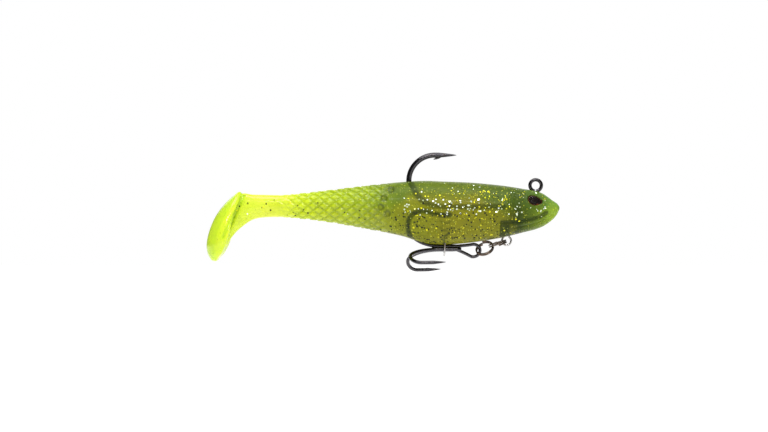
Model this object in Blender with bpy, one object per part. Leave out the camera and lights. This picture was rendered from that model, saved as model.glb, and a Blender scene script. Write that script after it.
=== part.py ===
"""Pre-rigged soft swimbait with a paddle tail, a jig hook and a belly treble.

Metres, +X to the nose, +Z up.  The origin is the centre of the line-tie ring,
because the lure hangs from it.  The soft body is one moulding on the real lure.
Here it is three solids that meet in upright round knuckles, so that it can bend.
"""

import math

import bmesh
import bpy
from mathutils import Euler, Matrix, Vector

MM = 0.001
GAP = 0.3  # clearance kept round every moulded-in piece

# Soft body: (x, back, belly, half width) from the nose to the end of the tail stem, in mm
BODY_STATIONS = [
    (8.5, -7.0, -9.3, 2.0),
    (6.2, -5.5, -12.2, 3.8),
    (2.0, -2.7, -15.0, 5.7),
    (-5.0, -1.2, -17.0, 7.4),
    (-13.0, 0.0, -18.9, 8.3),
    (-24.0, 1.0, -20.6, 8.7),
    (-34.0, 1.4, -21.3, 8.6),
    (-40.0, 1.6, -20.8, 8.3),
    (-48.0, 1.2, -18.2, 7.7),
    (-61.0, -0.1, -15.6, 6.4),
    (-76.0, -1.9, -13.0, 4.7),
    (-90.0, -3.4, -11.5, 3.1),
    (-98.0, -3.4, -11.5, 2.6),
    (-102.0, -3.3, -12.4, 2.4),
    (-106.0, -3.0, -15.1, 2.2),
    (-109.0, -6.5, -17.6, 1.8),
]
BODY_ROUNDNESS = 0.9  # 1 is an ellipse, less is squarer
BODY_SIDES = 28
BODY_STEP = 3.0
BODY_FLEX_X = -56.5  # upright axis where the body bends behind the hook
TAIL_FLEX_X = -90.0  # upright axis where the tail stem bends
FLEX_Z = -8.25
KNUCKLE_HEIGHT = 40.0
KNUCKLE_IN = 0.25  # the round front end is this much slimmer than the body
KNUCKLE_OUT = 0.1  # the hollow ahead of it is this much wider
BLOCK_SIZE = 60.0

# Paddle: (centre x, centre z, thickness, width) from its top to its foot, in mm
PADDLE_STATIONS = [
    (-106.3, -2.5, 1.0, 3.0),
    (-107.8, -5.0, 3.4, 9.0),
    (-110.3, -8.4, 4.8, 14.0),
    (-112.7, -12.6, 5.8, 17.0),
    (-114.4, -17.0, 6.2, 18.5),
    (-115.3, -21.0, 6.2, 17.5),
    (-115.6, -24.2, 5.2, 14.0),
    (-115.7, -26.5, 2.8, 8.0),
]
PADDLE_SIDES = 24
PADDLE_STEPS = 14
PADDLE_ROUNDNESS = 0.65  # 1 gives a sharp rim, less a thick one
PADDLE_SWEEP = 3.2  # how far the rim reaches forward where it is PADDLE_SWEEP_WIDTH wide
PADDLE_SWEEP_WIDTH = 18.0

# Lead head inside the nose: (x, top, bottom, half width), with a keel behind it
LEAD_STATIONS = [
    (4.1, -7.0, -10.6, 2.0),
    (2.4, -4.9, -13.2, 4.0),
    (-2.0, -3.1, -15.4, 5.6),
    (-9.4, -2.2, -16.8, 6.7),
]
KEEL_STATIONS = [
    (-7.0, -12.6, -16.5, 3.4),
    (-12.4, -12.8, -17.5, 3.4),
    (-13.2, -13.3, -17.1, 3.0),
]
LEAD_SIDES = 24

# Jig hook
HOOK_WIRE_R = 0.95
HOOK_SHANK_Z = -7.7
HOOK_BEND_X = -36.35
HOOK_BEND_R = 9.3
HOOK_TIP_X = -28.5
HOOK_TAPER = 6.5
HOOK_ELBOW_R = 3.0
TIE_RING_R = 2.05
TIE_WIRE_R = 0.63
BARB_R = 0.42
BARB_ROOT = (2.2, -0.35)  # from the top of the bend
BARB_TIP = (-0.4, -1.5)

# Belly eyelet, cast into the keel
EYELET_X = -10.5
EYELET_Z = -19.9
EYELET_R = 1.65
EYELET_WIRE_R = 0.34
EYELET_LEG_TOP_Z = -15.4
EYELET_LEG_SPREAD = 0.8

# Split rings
RING_OUTER_R = 3.45
RING_WIRE_R = 0.32
RING_PITCH = 0.7
RING_MID_R = RING_OUTER_R - RING_WIRE_R
RING_SLOPE = math.radians(20.1)  # both rings fall away from the eyelet at this angle
RING_LINK_X = EYELET_X - 0.25
RING_LINK_Z = EYELET_Z
REAR_RING_TILT = math.radians(52.0)
RING_LINK_SETBACK = 1.3  # centre distance of two wires that hang in each other

# Treble: x runs along the shank from the ring wire that the eye hangs on
TREBLE_WIRE_R = 0.65
TREBLE_ROLL = 8.0
TREBLE_YAW = 3.0
TREBLE_AXIS_Z = 1.1  # height of the shank's axis over that wire
TREBLE_LEG_OFFSET = 0.82
TREBLE_EYE_X = -1.15
TREBLE_EYE_Z = 0.15
TREBLE_EYE_R = 2.45
TREBLE_NECK_X = -5.6
TREBLE_BEND_START_X = -13.1
TREBLE_BEND_LOWER = (11.3, 6.8)
TREBLE_BEND_UPPER = (3.8, 5.3)
TREBLE_TOP_TIP_X = -9.8
TREBLE_LOW_TIP_X = -12.0
TREBLE_TIP_IN = 0.5
TREBLE_TAPER = 4.5
TREBLE_BARB_R = 0.35
TREBLE_BARB_OUT = 0.35
TREBLE_POINT_STEP = 1.3

# Belly slit that the treble's upper tine lies in, measured like the treble
SLIT_FROM_X = -5.2
SLIT_TO_X = -27.2
SLIT_TOP_Z = 15.0
SLIT_BOTTOM_Z = -3.0
SLIT_WIDTH = 2.2

# Keeper: a corkscrew in the belly with a straight leg beside the treble's shank
KEEPER_X = -32.7
KEEPER_Y = -2.75
KEEPER_WIRE_R = 0.34
KEEPER_COIL_R = 1.75
KEEPER_TOP_Z = -10.5
KEEPER_PITCH = 2.5
KEEPER_TURNS = 2.4
KEEPER_TURN_STEPS = 14
KEEPER_LEG = [  # from the end of the coil down to the foot, about the coil's axis
    (1.1, 0.55, -17.35),
    (0.35, 0.2, -17.95),
    (0.0, 0.0, -18.4),
    (-0.1, 0.0, -21.5),
    (-0.2, 0.0, -24.8),
    (-0.35, 0.0, -25.3),
]

# Eyes
EYE_X = -0.4
EYE_Z = -5.3
EYE_LENGTH = 5.6
EYE_HEIGHT = 3.8
EYE_NARROWING = (0.28, 0.14)  # how the height shrinks towards the front
EYE_TILT = 0.10  # lifts the blunt end
EYE_DROP = 0.12
EYE_SEAT = 0.9  # depth of the seat below the skin
EYE_FOIL = 0.3
EYE_LENS_EDGE = 0.35
EYE_DOME = 0.55
EYE_SIDES = 28


def clear_scene():
    for item in list(bpy.data.objects):
        bpy.data.objects.remove(item, do_unlink=True)


def material(name, colour, roughness, metallic=0.0, alpha=1.0):
    made = bpy.data.materials.new(name)
    made.use_nodes = True
    shader = made.node_tree.nodes["Principled BSDF"]
    shader.inputs["Base Color"].default_value = (*colour, 1.0)
    shader.inputs["Roughness"].default_value = roughness
    shader.inputs["Metallic"].default_value = metallic
    shader.inputs["Alpha"].default_value = alpha
    return made


def add_object(name, mesh, look=None):
    made = bpy.data.objects.new(name, mesh)
    bpy.context.scene.collection.objects.link(made)
    if look:
        mesh.materials.append(look)
    return made


def as_cutter(thing):
    thing.hide_render = True
    thing.display_type = "WIRE"
    return thing


def boolean(target, other, operation):
    as_cutter(other)
    step = target.modifiers.new(other.name, "BOOLEAN")
    step.operation = operation
    step.object = other
    step.solver = "EXACT"


def cut(target, *cutters):
    for cutter in cutters:
        boolean(target, cutter, "DIFFERENCE")


def mesh_from_rings(name, rings, closed=False, smooth_angle=40.0):
    """A closed skin over rings of points in mm: capped at both ends, or joined end to end."""
    bm = bmesh.new()
    loops = [[bm.verts.new(Vector(p) * MM) for p in ring] for ring in rings]
    pairs = list(zip(loops, loops[1:]))
    if closed:
        pairs.append((loops[-1], loops[0]))
    for first, second in pairs:
        for i in range(len(first)):
            j = (i + 1) % len(first)
            bm.faces.new((first[i], first[j], second[j], second[i]))
    if not closed:
        bm.faces.new(list(reversed(loops[0])))
        bm.faces.new(loops[-1])
    bmesh.ops.recalc_face_normals(bm, faces=bm.faces)
    mesh = bpy.data.meshes.new(name)
    bm.to_mesh(mesh)
    bm.free()
    mesh.shade_smooth()
    mesh.set_sharp_from_angle(angle=math.radians(smooth_angle))
    return mesh


def bar(name, points, radii, sides, closed=False):
    """A round bar swept along points in mm, with a radius at each point."""
    path = [Vector(p) for p in points]
    count = len(path)
    rings = []
    side = None
    for i, here in enumerate(path):
        before = path[(i - 1) % count] if closed or i else here
        after = path[(i + 1) % count] if closed or i < count - 1 else here
        along = (after - before).normalized()
        if side is None:
            side = along.orthogonal().normalized()
        side = (side - along * side.dot(along)).normalized()
        other = along.cross(side)
        turns = [2 * math.pi * (k + 0.5) / sides for k in range(sides)]
        rings.append([here + radii[i] * (side * math.cos(t) + other * math.sin(t)) for t in turns])
    return mesh_from_rings(name, rings, closed)


def interpolate(stations, x):
    """Smooth values between stations, which are sorted by falling first value."""
    last = len(stations) - 2
    k = next((i for i in range(last) if x > stations[i + 1][0]), last)
    here, there = stations[k], stations[k + 1]
    before = stations[max(k - 1, 0)]
    beyond = stations[min(k + 2, last + 1)]
    span = there[0] - here[0]
    t = (x - here[0]) / span
    values = []
    for c in range(1, len(here)):
        slope_a = (there[c] - before[c]) / (there[0] - before[0]) * span
        slope_b = (beyond[c] - here[c]) / (beyond[0] - here[0]) * span
        rise = there[c] - here[c]
        value = here[c] + t * slope_a + t * t * (3 * rise - 2 * slope_a - slope_b)
        value += t * t * t * (slope_a + slope_b - 2 * rise)
        values.append(value)
    return values


def power(value, exponent):
    return math.copysign(abs(value) ** exponent, value)


def section(x, stations, sides, grow=0.0):
    """One upright cross-section of a body at x."""
    top, bottom, half_width = interpolate(stations, x)
    middle = (top + bottom) / 2
    half_height = (top - bottom) / 2 + grow
    ring = []
    for k in range(sides):
        turn = 2 * math.pi * k / sides
        y = (half_width + grow) * power(math.cos(turn), BODY_ROUNDNESS)
        z = middle + half_height * power(math.sin(turn), BODY_ROUNDNESS)
        ring.append((x, y, z))
    return ring


def spread(start, end, step):
    count = max(1, round(abs(end - start) / step))
    return [start + (end - start) * i / count for i in range(count + 1)]


def loft(name, stations, start, end, step, sides, grow=0.0):
    places = spread(start, end, step)
    rings = [section(x, stations, sides, grow) for x in places]
    if grow:
        lean = math.copysign(grow, start - end)
        rings = [[(x + lean, y, z) for x, y, z in rings[0]]] + rings
        rings.append([(x - lean, y, z) for x, y, z in rings[-1]])
    return mesh_from_rings(name, rings)


def arc(centre, radius_x, radius_z, start, end, steps):
    """Points of an elliptical arc in the XZ plane, from start to end in degrees."""
    turns = [math.radians(start + (end - start) * i / steps) for i in range(steps + 1)]
    x, z = centre
    return [(x + radius_x * math.cos(t), 0.0, z + radius_z * math.sin(t)) for t in turns]


def without_repeats(points):
    kept = [points[0]]
    for p in points[1:]:
        if (Vector(p) - Vector(kept[-1])).length > 0.05:
            kept.append(p)
    return kept


def taper_from_tip(points, full, reach, tip=0.06):
    """Radii that grow from a sharp tip at the first point to the full wire."""
    run = 0.0
    radii = [tip]
    for a, b in zip(points, points[1:]):
        run += (Vector(b) - Vector(a)).length
        radii.append(tip + (full - tip) * min(1.0, run / reach) ** 0.7)
    return radii


# Soft body


def knuckle(name, x, radius):
    """An upright round core on a flex axis, used to round one solid and hollow the other."""
    bm = bmesh.new()
    bmesh.ops.create_cone(
        bm,
        cap_ends=True,
        segments=40,
        radius1=radius * MM,
        radius2=radius * MM,
        depth=KNUCKLE_HEIGHT * MM,
    )
    mesh = bpy.data.meshes.new(name)
    bm.to_mesh(mesh)
    bm.free()
    made = add_object(name, mesh)
    made.location = (x * MM, 0.0, FLEX_Z * MM)
    return as_cutter(made)


def block_ahead(name, x):
    """A block that fills everything ahead of x."""
    bm = bmesh.new()
    bmesh.ops.create_cube(bm, size=BLOCK_SIZE * MM)
    mesh = bpy.data.meshes.new(name)
    bm.to_mesh(mesh)
    bm.free()
    made = add_object(name, mesh)
    made.location = ((x + BLOCK_SIZE / 2) * MM, 0.0, FLEX_Z * MM)
    return as_cutter(made)


def soft_length(name, start, end, flex_ahead, look):
    """One length of the soft body; its front end is round about the flex axis ahead of it."""
    if flex_ahead is None:
        mesh = loft(name, BODY_STATIONS, start, end, BODY_STEP, BODY_SIDES)
        return add_object(name, mesh, look)
    half_width = interpolate(BODY_STATIONS, flex_ahead)[2]
    mesh = loft(name, BODY_STATIONS, flex_ahead + half_width, end, BODY_STEP, BODY_SIDES)
    made = add_object(name, mesh, look)
    corners = block_ahead(name + "_front_corners", flex_ahead)
    cut(corners, knuckle(name + "_front_core", flex_ahead, half_width - KNUCKLE_IN))
    cut(made, corners)
    return made


def hollow_end(target, flex_x):
    """The round hollow that the next length's front end turns in."""
    half_width = interpolate(BODY_STATIONS, flex_x)[2]
    cut(target, knuckle(target.name + "_hollow", flex_x, half_width + KNUCKLE_OUT))


def paddle_ring(centre_x, centre_z, across, thickness, width):
    ring = []
    for k in range(PADDLE_SIDES):
        turn = 2 * math.pi * k / PADDLE_SIDES
        depth = thickness / 2 * power(math.cos(turn), PADDLE_ROUNDNESS)
        y = width / 2 * math.sin(turn)
        depth += PADDLE_SWEEP * (2 * y / PADDLE_SWEEP_WIDTH) ** 2
        ring.append((centre_x + depth * across[0], y, centre_z + depth * across[1]))
    return ring


def paddle_mesh(name):
    """The oval paddle: it leans back, and its sides sweep forward."""
    stations = [(-i, *values) for i, values in enumerate(PADDLE_STATIONS)]
    last = len(PADDLE_STATIONS) - 1
    rings = []
    for i in range(PADDLE_STEPS + 1):
        s = -last * i / PADDLE_STEPS
        x, z, thickness, width = interpolate(stations, s)
        lower = interpolate(stations, max(s - 0.05, -last))
        upper = interpolate(stations, min(s + 0.05, 0.0))
        down = Vector((lower[0] - upper[0], lower[1] - upper[1])).normalized()
        rings.append(paddle_ring(x, z, (-down.y, down.x), thickness, width))
    return mesh_from_rings(name, rings)


# Hard pieces, each with a grow value so that the same shape also cuts its seat


def lead_head(name, grow=0.0):
    start, end = LEAD_STATIONS[0][0], LEAD_STATIONS[-1][0]
    return loft(name, LEAD_STATIONS, start, end, 2.2, LEAD_SIDES, grow)


def lead_keel(name, grow=0.0):
    start, end = KEEL_STATIONS[0][0], KEEL_STATIONS[-1][0]
    return loft(name, KEEL_STATIONS, start, end, 1.0, LEAD_SIDES, grow)


def hook_path():
    top_z = HOOK_SHANK_Z + 2 * HOOK_BEND_R
    tip = [(x, 0.0, top_z) for x in spread(HOOK_TIP_X, HOOK_BEND_X, 1.4)]
    bend = arc((HOOK_BEND_X, HOOK_SHANK_Z + HOOK_BEND_R), HOOK_BEND_R, HOOK_BEND_R, 90, 270, 20)
    elbow = arc((-HOOK_ELBOW_R, HOOK_SHANK_Z + HOOK_ELBOW_R), HOOK_ELBOW_R, HOOK_ELBOW_R, -90, 0, 5)
    neck = [(0.0, 0.0, -TIE_RING_R - 1.2), (0.0, 0.0, -TIE_RING_R - 0.1)]
    return without_repeats(tip + bend + elbow + neck)


def hook_wire(name, grow=0.0):
    points = hook_path()
    radii = taper_from_tip(points, HOOK_WIRE_R, HOOK_TAPER)
    radii[-2] = TIE_WIRE_R + 0.05
    radii[-1] = TIE_WIRE_R
    return bar(name, points, [r + grow for r in radii], 10)


def tie_ring(name, grow=0.0):
    points = arc((0.0, 0.0), TIE_RING_R, TIE_RING_R, 0, 345, 23)
    return bar(name, points, [TIE_WIRE_R + grow] * len(points), 10, closed=True)


def barb(name, root, tip, radius):
    return bar(name, [root, tip], [radius, 0.04], 6)


def eyelet_loop(name, grow=0.0):
    points = arc((EYELET_X, EYELET_Z), EYELET_R, EYELET_R, 0, 340, 18)
    return bar(name, points, [EYELET_WIRE_R + grow] * len(points), 8, closed=True)


def eyelet_leg(name, side, grow=0.0):
    """One of the two legs that run from the loop up into the keel."""
    x = EYELET_X + side * EYELET_LEG_SPREAD
    foot = EYELET_Z + math.sqrt(EYELET_R**2 - EYELET_LEG_SPREAD**2)
    points = [(x, 0.0, EYELET_LEG_TOP_Z + grow), (x, 0.0, foot)]
    return bar(name, points, [EYELET_WIRE_R + grow] * 2, 8)


def split_ring(name, centre, mid_direction, other_direction):
    """A wire coiled twice; its two ends lie a quarter turn before mid_direction."""
    normal = mid_direction.cross(other_direction)
    steps = 56
    points = []
    for i in range(steps + 1):
        turn = 4 * math.pi * i / steps
        arm = mid_direction * math.sin(turn) - other_direction * math.cos(turn)
        points.append(centre + RING_MID_R * arm + normal * RING_PITCH * (i / steps * 2 - 1))
    return bar(name, points, [RING_WIRE_R] * len(points), 8)


def keeper_path():
    points = []
    steps = round(KEEPER_TURNS * KEEPER_TURN_STEPS)
    for i in range(steps + 1):
        turn = 2 * math.pi * KEEPER_TURNS * (i / steps - 1)
        x = KEEPER_X + KEEPER_COIL_R * math.cos(turn)
        y = KEEPER_Y + KEEPER_COIL_R * math.sin(turn)
        points.append((x, y, KEEPER_TOP_Z - KEEPER_PITCH * KEEPER_TURNS * i / steps))
    points += [(KEEPER_X + x, KEEPER_Y + y, z) for x, y, z in KEEPER_LEG]
    return points


def keeper(name, grow=0.0):
    points = keeper_path()
    return bar(name, points, [KEEPER_WIRE_R + grow] * len(points), 6)


# Treble, built about the ring wire that its eye hangs on


def tine_path(angle):
    """From the point, round the bend and along the shank, leaning at angle about the shank."""
    reach = TREBLE_LEG_OFFSET + TREBLE_BEND_LOWER[1] + TREBLE_BEND_UPPER[1]
    middle = TREBLE_LEG_OFFSET + TREBLE_BEND_LOWER[1]
    upper_x = TREBLE_BEND_START_X - TREBLE_BEND_LOWER[0] + TREBLE_BEND_UPPER[0]
    tip_x = TREBLE_TOP_TIP_X if angle == TREBLE_ROLL else TREBLE_LOW_TIP_X
    flat = []
    for x in spread(tip_x, upper_x, TREBLE_POINT_STEP):
        share = (x - upper_x) / (tip_x - upper_x)
        flat.append((x, 0.0, reach - TREBLE_TIP_IN * share * share))
    flat += arc((upper_x, middle), *TREBLE_BEND_UPPER, 90, 180, 7)
    flat += arc((TREBLE_BEND_START_X, middle), *TREBLE_BEND_LOWER, 180, 270, 10)
    flat.append((TREBLE_NECK_X, 0.0, TREBLE_LEG_OFFSET))
    flat = without_repeats(flat)
    lean = Matrix.Rotation(math.radians(-angle), 3, "X")
    return [lean @ Vector(p) + Vector((0.0, 0.0, TREBLE_AXIS_Z)) for p in flat]


def treble_eye_path(first, last):
    """The teardrop loop between the ends of the two shanks that it joins."""
    side = (first - last).normalized()
    centre = (first + last) / 2
    centre.x = TREBLE_EYE_X
    centre.z += TREBLE_EYE_Z - TREBLE_AXIS_Z
    neck = Vector((TREBLE_NECK_X - TREBLE_EYE_X, (first - last).length / 2))
    tangent = math.atan2(neck.y, neck.x) - math.acos(TREBLE_EYE_R / neck.length)
    steps = 16
    points = []
    for i in range(steps + 1):
        turn = tangent - 2 * tangent * i / steps
        arm = Vector((math.cos(turn), 0.0, 0.0)) + side * math.sin(turn)
        points.append(centre + TREBLE_EYE_R * arm)
    return points


def treble_double(name):
    first = tine_path(TREBLE_ROLL)
    second = tine_path(TREBLE_ROLL + 120)
    points = first + treble_eye_path(first[-1], second[-1]) + second[::-1]
    tapered = taper_from_tip(first, TREBLE_WIRE_R, TREBLE_TAPER)
    middle = [TREBLE_WIRE_R] * (len(points) - 2 * len(first))
    return bar(name, points, tapered + middle + tapered[::-1], 8)


def treble_single(name):
    points = tine_path(TREBLE_ROLL - 120)
    return bar(name, points, taper_from_tip(points, TREBLE_WIRE_R, TREBLE_TAPER), 8)


def tine_barb(name, angle):
    """The barb behind a tine's point, on the side that faces the shank."""
    points = tine_path(angle)
    root = points[3]
    inward = (Vector((root.x, 0.0, TREBLE_AXIS_Z)) - root).normalized()
    tip = points[4] + inward * (TREBLE_WIRE_R + TREBLE_BARB_OUT)
    return barb(name, root, tip, TREBLE_BARB_R)


def belly_slit(name):
    bm = bmesh.new()
    bmesh.ops.create_cube(bm, size=1.0)
    length = SLIT_FROM_X - SLIT_TO_X
    height = SLIT_TOP_Z - SLIT_BOTTOM_Z
    bmesh.ops.scale(bm, vec=Vector((length, SLIT_WIDTH, height)) * MM, verts=bm.verts)
    centre = Vector((SLIT_TO_X + length / 2, 0.0, SLIT_BOTTOM_Z + height / 2)) * MM
    bmesh.ops.translate(bm, vec=centre, verts=bm.verts)
    lean = Matrix.Rotation(math.radians(-TREBLE_ROLL), 3, "X")
    bmesh.ops.rotate(bm, cent=(0, 0, 0), matrix=lean, verts=bm.verts)
    mesh = bpy.data.meshes.new(name)
    bm.to_mesh(mesh)
    bm.free()
    return mesh


# Eyes: a printed foil under a clear domed lens, both in a seat in the skin


def skin_point(x, turn):
    top, bottom, half_width = interpolate(BODY_STATIONS, x)
    y = half_width * power(math.cos(turn), BODY_ROUNDNESS)
    z = (top + bottom) / 2 + (top - bottom) / 2 * power(math.sin(turn), BODY_ROUNDNESS)
    return Vector((x, y, z))


def eye_frame(side):
    """Where an eye sits: its centre on the skin and the skin's outward direction."""
    turn = 0.0
    while skin_point(EYE_X, turn).z < EYE_Z:
        turn += 0.002
    here = skin_point(EYE_X, turn)
    along = skin_point(EYE_X + 0.5, turn) - skin_point(EYE_X - 0.5, turn)
    around = skin_point(EYE_X, turn + 0.02) - skin_point(EYE_X, turn - 0.02)
    outward = along.cross(around).normalized()
    if outward.y < 0:
        outward = -outward
    here.y *= side
    outward.y *= side
    forward = (Vector((1, 0, 0)) - outward * outward.x).normalized()
    upward = outward.cross(forward) * -side
    return here, outward, forward, upward


def eye_outline(scale, grow=0.0):
    """A teardrop that is blunt at the back and pointed at the front."""
    outline = []
    for k in range(EYE_SIDES):
        turn = 2 * math.pi * k / EYE_SIDES
        x = math.cos(turn)
        narrowing = 1.0 - EYE_NARROWING[0] * x - EYE_NARROWING[1] * x * x
        tilt = EYE_TILT * (1.0 - x) - EYE_DROP
        forward = scale * EYE_LENGTH / 2 * x
        upward = scale * EYE_HEIGHT / 2 * (math.sin(turn) * narrowing + tilt)
        size = math.hypot(forward, upward)
        stretch = 1.0 + grow / size
        outline.append((forward * stretch, upward * stretch))
    return outline


def eye_solid(name, side, layers):
    """A solid of outlines, each (height over the skin, scale, grow)."""
    here, outward, forward, upward = eye_frame(side)
    rings = []
    for height, scale, grow in layers:
        ring = []
        for a, b in eye_outline(scale, grow):
            ring.append(here + forward * a + upward * b + outward * height)
        rings.append(ring)
    return mesh_from_rings(name, rings)


def eye_pieces(suffix, side, foil_look, lens_look, body):
    foil_top = -EYE_SEAT + EYE_FOIL
    lens_foot = foil_top + 0.15
    lens_edge = lens_foot + EYE_LENS_EDGE
    dome = [(lens_edge + EYE_DOME * (1 - s * s), s, 0.0) for s in (0.9, 0.72, 0.5, 0.25)]
    foil = eye_solid("eye_foil_" + suffix, side, [(-EYE_SEAT, 1.0, 0.0), (foil_top, 1.0, 0.0)])
    lens = eye_solid("eye_lens_" + suffix, side, [(lens_foot, 1.0, 0.0), (lens_edge, 1.0, 0.0)] + dome)
    seat = eye_solid("eye_seat_" + suffix, side, [(-EYE_SEAT - GAP, 1.0, GAP), (3.0, 1.0, GAP)])
    add_object("eye_foil_" + suffix, foil, foil_look)
    add_object("eye_lens_" + suffix, lens, lens_look)
    cut(body, add_object("eye_seat_" + suffix, seat))


def hinge_empty(name, x, z, yaw=0.0):
    made = bpy.data.objects.new(name, None)
    bpy.context.scene.collection.objects.link(made)
    made.empty_display_size = 0.005
    made.location = (x * MM, 0.0, z * MM)
    made.rotation_euler = Euler((0.0, 0.0, math.radians(yaw)))
    return made


def place_on(empty, thing):
    """Moves a world-space object under an empty without moving it."""
    bpy.context.view_layer.update()
    thing.parent = empty
    thing.matrix_parent_inverse = empty.matrix_world.inverted()


def build():
    clear_scene()
    front_look = material("olive_green_plastisol", (0.17, 0.24, 0.03), 0.3)
    rear_look = material("yellow_green_plastisol", (0.40, 0.55, 0.03), 0.35)
    tail_look = material("chartreuse_plastisol", (0.60, 0.85, 0.04), 0.35)
    lead_look = material("painted_lead", (0.02, 0.04, 0.012), 0.45, 0.6)
    hook_look = material("black_nickel_wire", (0.035, 0.033, 0.036), 0.2, 1.0)
    bright_look = material("bright_nickel_wire", (0.55, 0.56, 0.58), 0.2, 1.0)
    foil_look = material("eye_foil", (0.09, 0.03, 0.015), 0.3, 0.4)
    lens_look = material("clear_eye_resin", (0.9, 0.9, 0.85), 0.05, 0.0, 0.3)

    # Soft body in three lengths
    body_front = soft_length(
        "body_front", BODY_STATIONS[0][0], BODY_FLEX_X, None, front_look
    )
    body_rear = soft_length("body_rear", None, TAIL_FLEX_X, BODY_FLEX_X, rear_look)
    tail = soft_length("tail", None, BODY_STATIONS[-1][0], TAIL_FLEX_X, tail_look)
    hollow_end(body_front, BODY_FLEX_X)
    hollow_end(body_rear, TAIL_FLEX_X)
    boolean(tail, add_object("paddle", paddle_mesh("paddle")), "UNION")

    # Flex axes
    body_flex = hinge_empty("body_flex_axis", BODY_FLEX_X, FLEX_Z)
    tail_flex = hinge_empty("tail_flex_axis", TAIL_FLEX_X, FLEX_Z)
    place_on(body_flex, body_rear)
    place_on(tail_flex, tail)
    place_on(body_flex, tail_flex)

    # Lead head with its keel
    lead = add_object("lead_head", lead_head("lead_head"), lead_look)
    boolean(lead, add_object("keel", lead_keel("keel")), "UNION")
    cut(body_front, add_object("lead_seat", lead_head("lead_seat", GAP)))
    cut(body_front, add_object("keel_seat", lead_keel("keel_seat", GAP)))

    # Jig hook with its line-tie ring and its barb
    hook = add_object("jig_hook", hook_wire("jig_hook"), hook_look)
    boolean(hook, add_object("tie_ring", tie_ring("tie_ring")), "UNION")
    top_z = HOOK_SHANK_Z + 2 * HOOK_BEND_R
    root = (HOOK_BEND_X + BARB_ROOT[0], 0.0, top_z + BARB_ROOT[1])
    tip = (HOOK_BEND_X + BARB_TIP[0], 0.0, top_z + BARB_TIP[1])
    boolean(hook, add_object("hook_barb", barb("hook_barb", root, tip, BARB_R)), "UNION")
    wire_channel = add_object("hook_channel", hook_wire("hook_channel", GAP))
    ring_channel = add_object("tie_ring_channel", tie_ring("tie_ring_channel", GAP))
    cut(lead, wire_channel)
    cut(body_front, wire_channel, ring_channel)

    # Belly eyelet
    eyelet = add_object("belly_eyelet", eyelet_loop("belly_eyelet"), bright_look)
    loop_channel = add_object("eyelet_channel", eyelet_loop("eyelet_channel", GAP))
    cut(body_front, loop_channel)
    for side in (-1, 1):
        leg = add_object(f"eyelet_leg_{side}", eyelet_leg("eyelet_leg", side))
        boolean(eyelet, leg, "UNION")
        channel = add_object(f"leg_channel_{side}", eyelet_leg("leg_channel", side, GAP))
        cut(lead, channel)
        cut(body_front, channel)

    # Two split rings, each hanging in the one ahead of it
    falling = Vector((-math.cos(RING_SLOPE), 0.0, -math.sin(RING_SLOPE)))
    across = Vector((0.0, 1.0, 0.0))
    first_link = Vector((RING_LINK_X, 0.0, RING_LINK_Z))
    front_centre = first_link + falling * RING_MID_R
    second_link = front_centre + falling * RING_MID_R
    rear_centre = second_link + falling * (RING_MID_R - RING_LINK_SETBACK)
    third_link = rear_centre + falling * RING_MID_R
    upright = falling.cross(across)
    leaning = upright * math.cos(REAR_RING_TILT) - across * math.sin(REAR_RING_TILT)
    front_mesh = split_ring("front_split_ring", front_centre - first_link, falling, across)
    front_ring = add_object("front_split_ring", front_mesh, hook_look)
    front_ring.location = first_link * MM
    rear_mesh = split_ring("rear_split_ring", rear_centre - second_link, falling, leaning)
    rear_ring = add_object("rear_split_ring", rear_mesh, hook_look)
    rear_ring.location = second_link * MM
    place_on(front_ring, rear_ring)

    # Treble: a double hook that carries the eye, and a single hook brazed beside it
    treble_axis = hinge_empty("treble_axis", third_link.x, third_link.z, TREBLE_YAW)
    place_on(rear_ring, treble_axis)
    double = add_object("treble_double_hook", treble_double("treble_double_hook"), hook_look)
    single = add_object("treble_single_hook", treble_single("treble_single_hook"), hook_look)
    for angle in (0, 120, 240):
        spike = add_object(f"treble_barb_{angle}", tine_barb("treble_barb", TREBLE_ROLL + angle))
        spike.parent = treble_axis
        boolean(single if angle == 240 else double, spike, "UNION")
    slit = add_object("belly_slit", belly_slit("belly_slit"))
    for thing in (double, single, slit):
        thing.parent = treble_axis
    cut(body_front, slit)

    # Keeper and eyes
    add_object("keeper_screw", keeper("keeper_screw"), bright_look)
    cut(body_front, add_object("keeper_channel", keeper("keeper_channel", GAP)))
    for suffix, side in (("left", 1), ("right", -1)):
        eye_pieces(suffix, side, foil_look, lens_look, body_front)
    bpy.context.view_layer.update()


build()
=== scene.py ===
# %% [markdown]
# # A pre-rigged soft swimbait
#
# This lesson dresses a finished mechanical model of a fishing lure: a soft body with a
# paddle tail, a weighted jig hook, and a treble hook that hangs on two split rings.  The
# hard model, or frame, fixes every place and size.  Each cell adds one piece or one finish.

import math

import bmesh
import bpy
import numpy as np
from mathutils import Matrix, Vector


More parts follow.
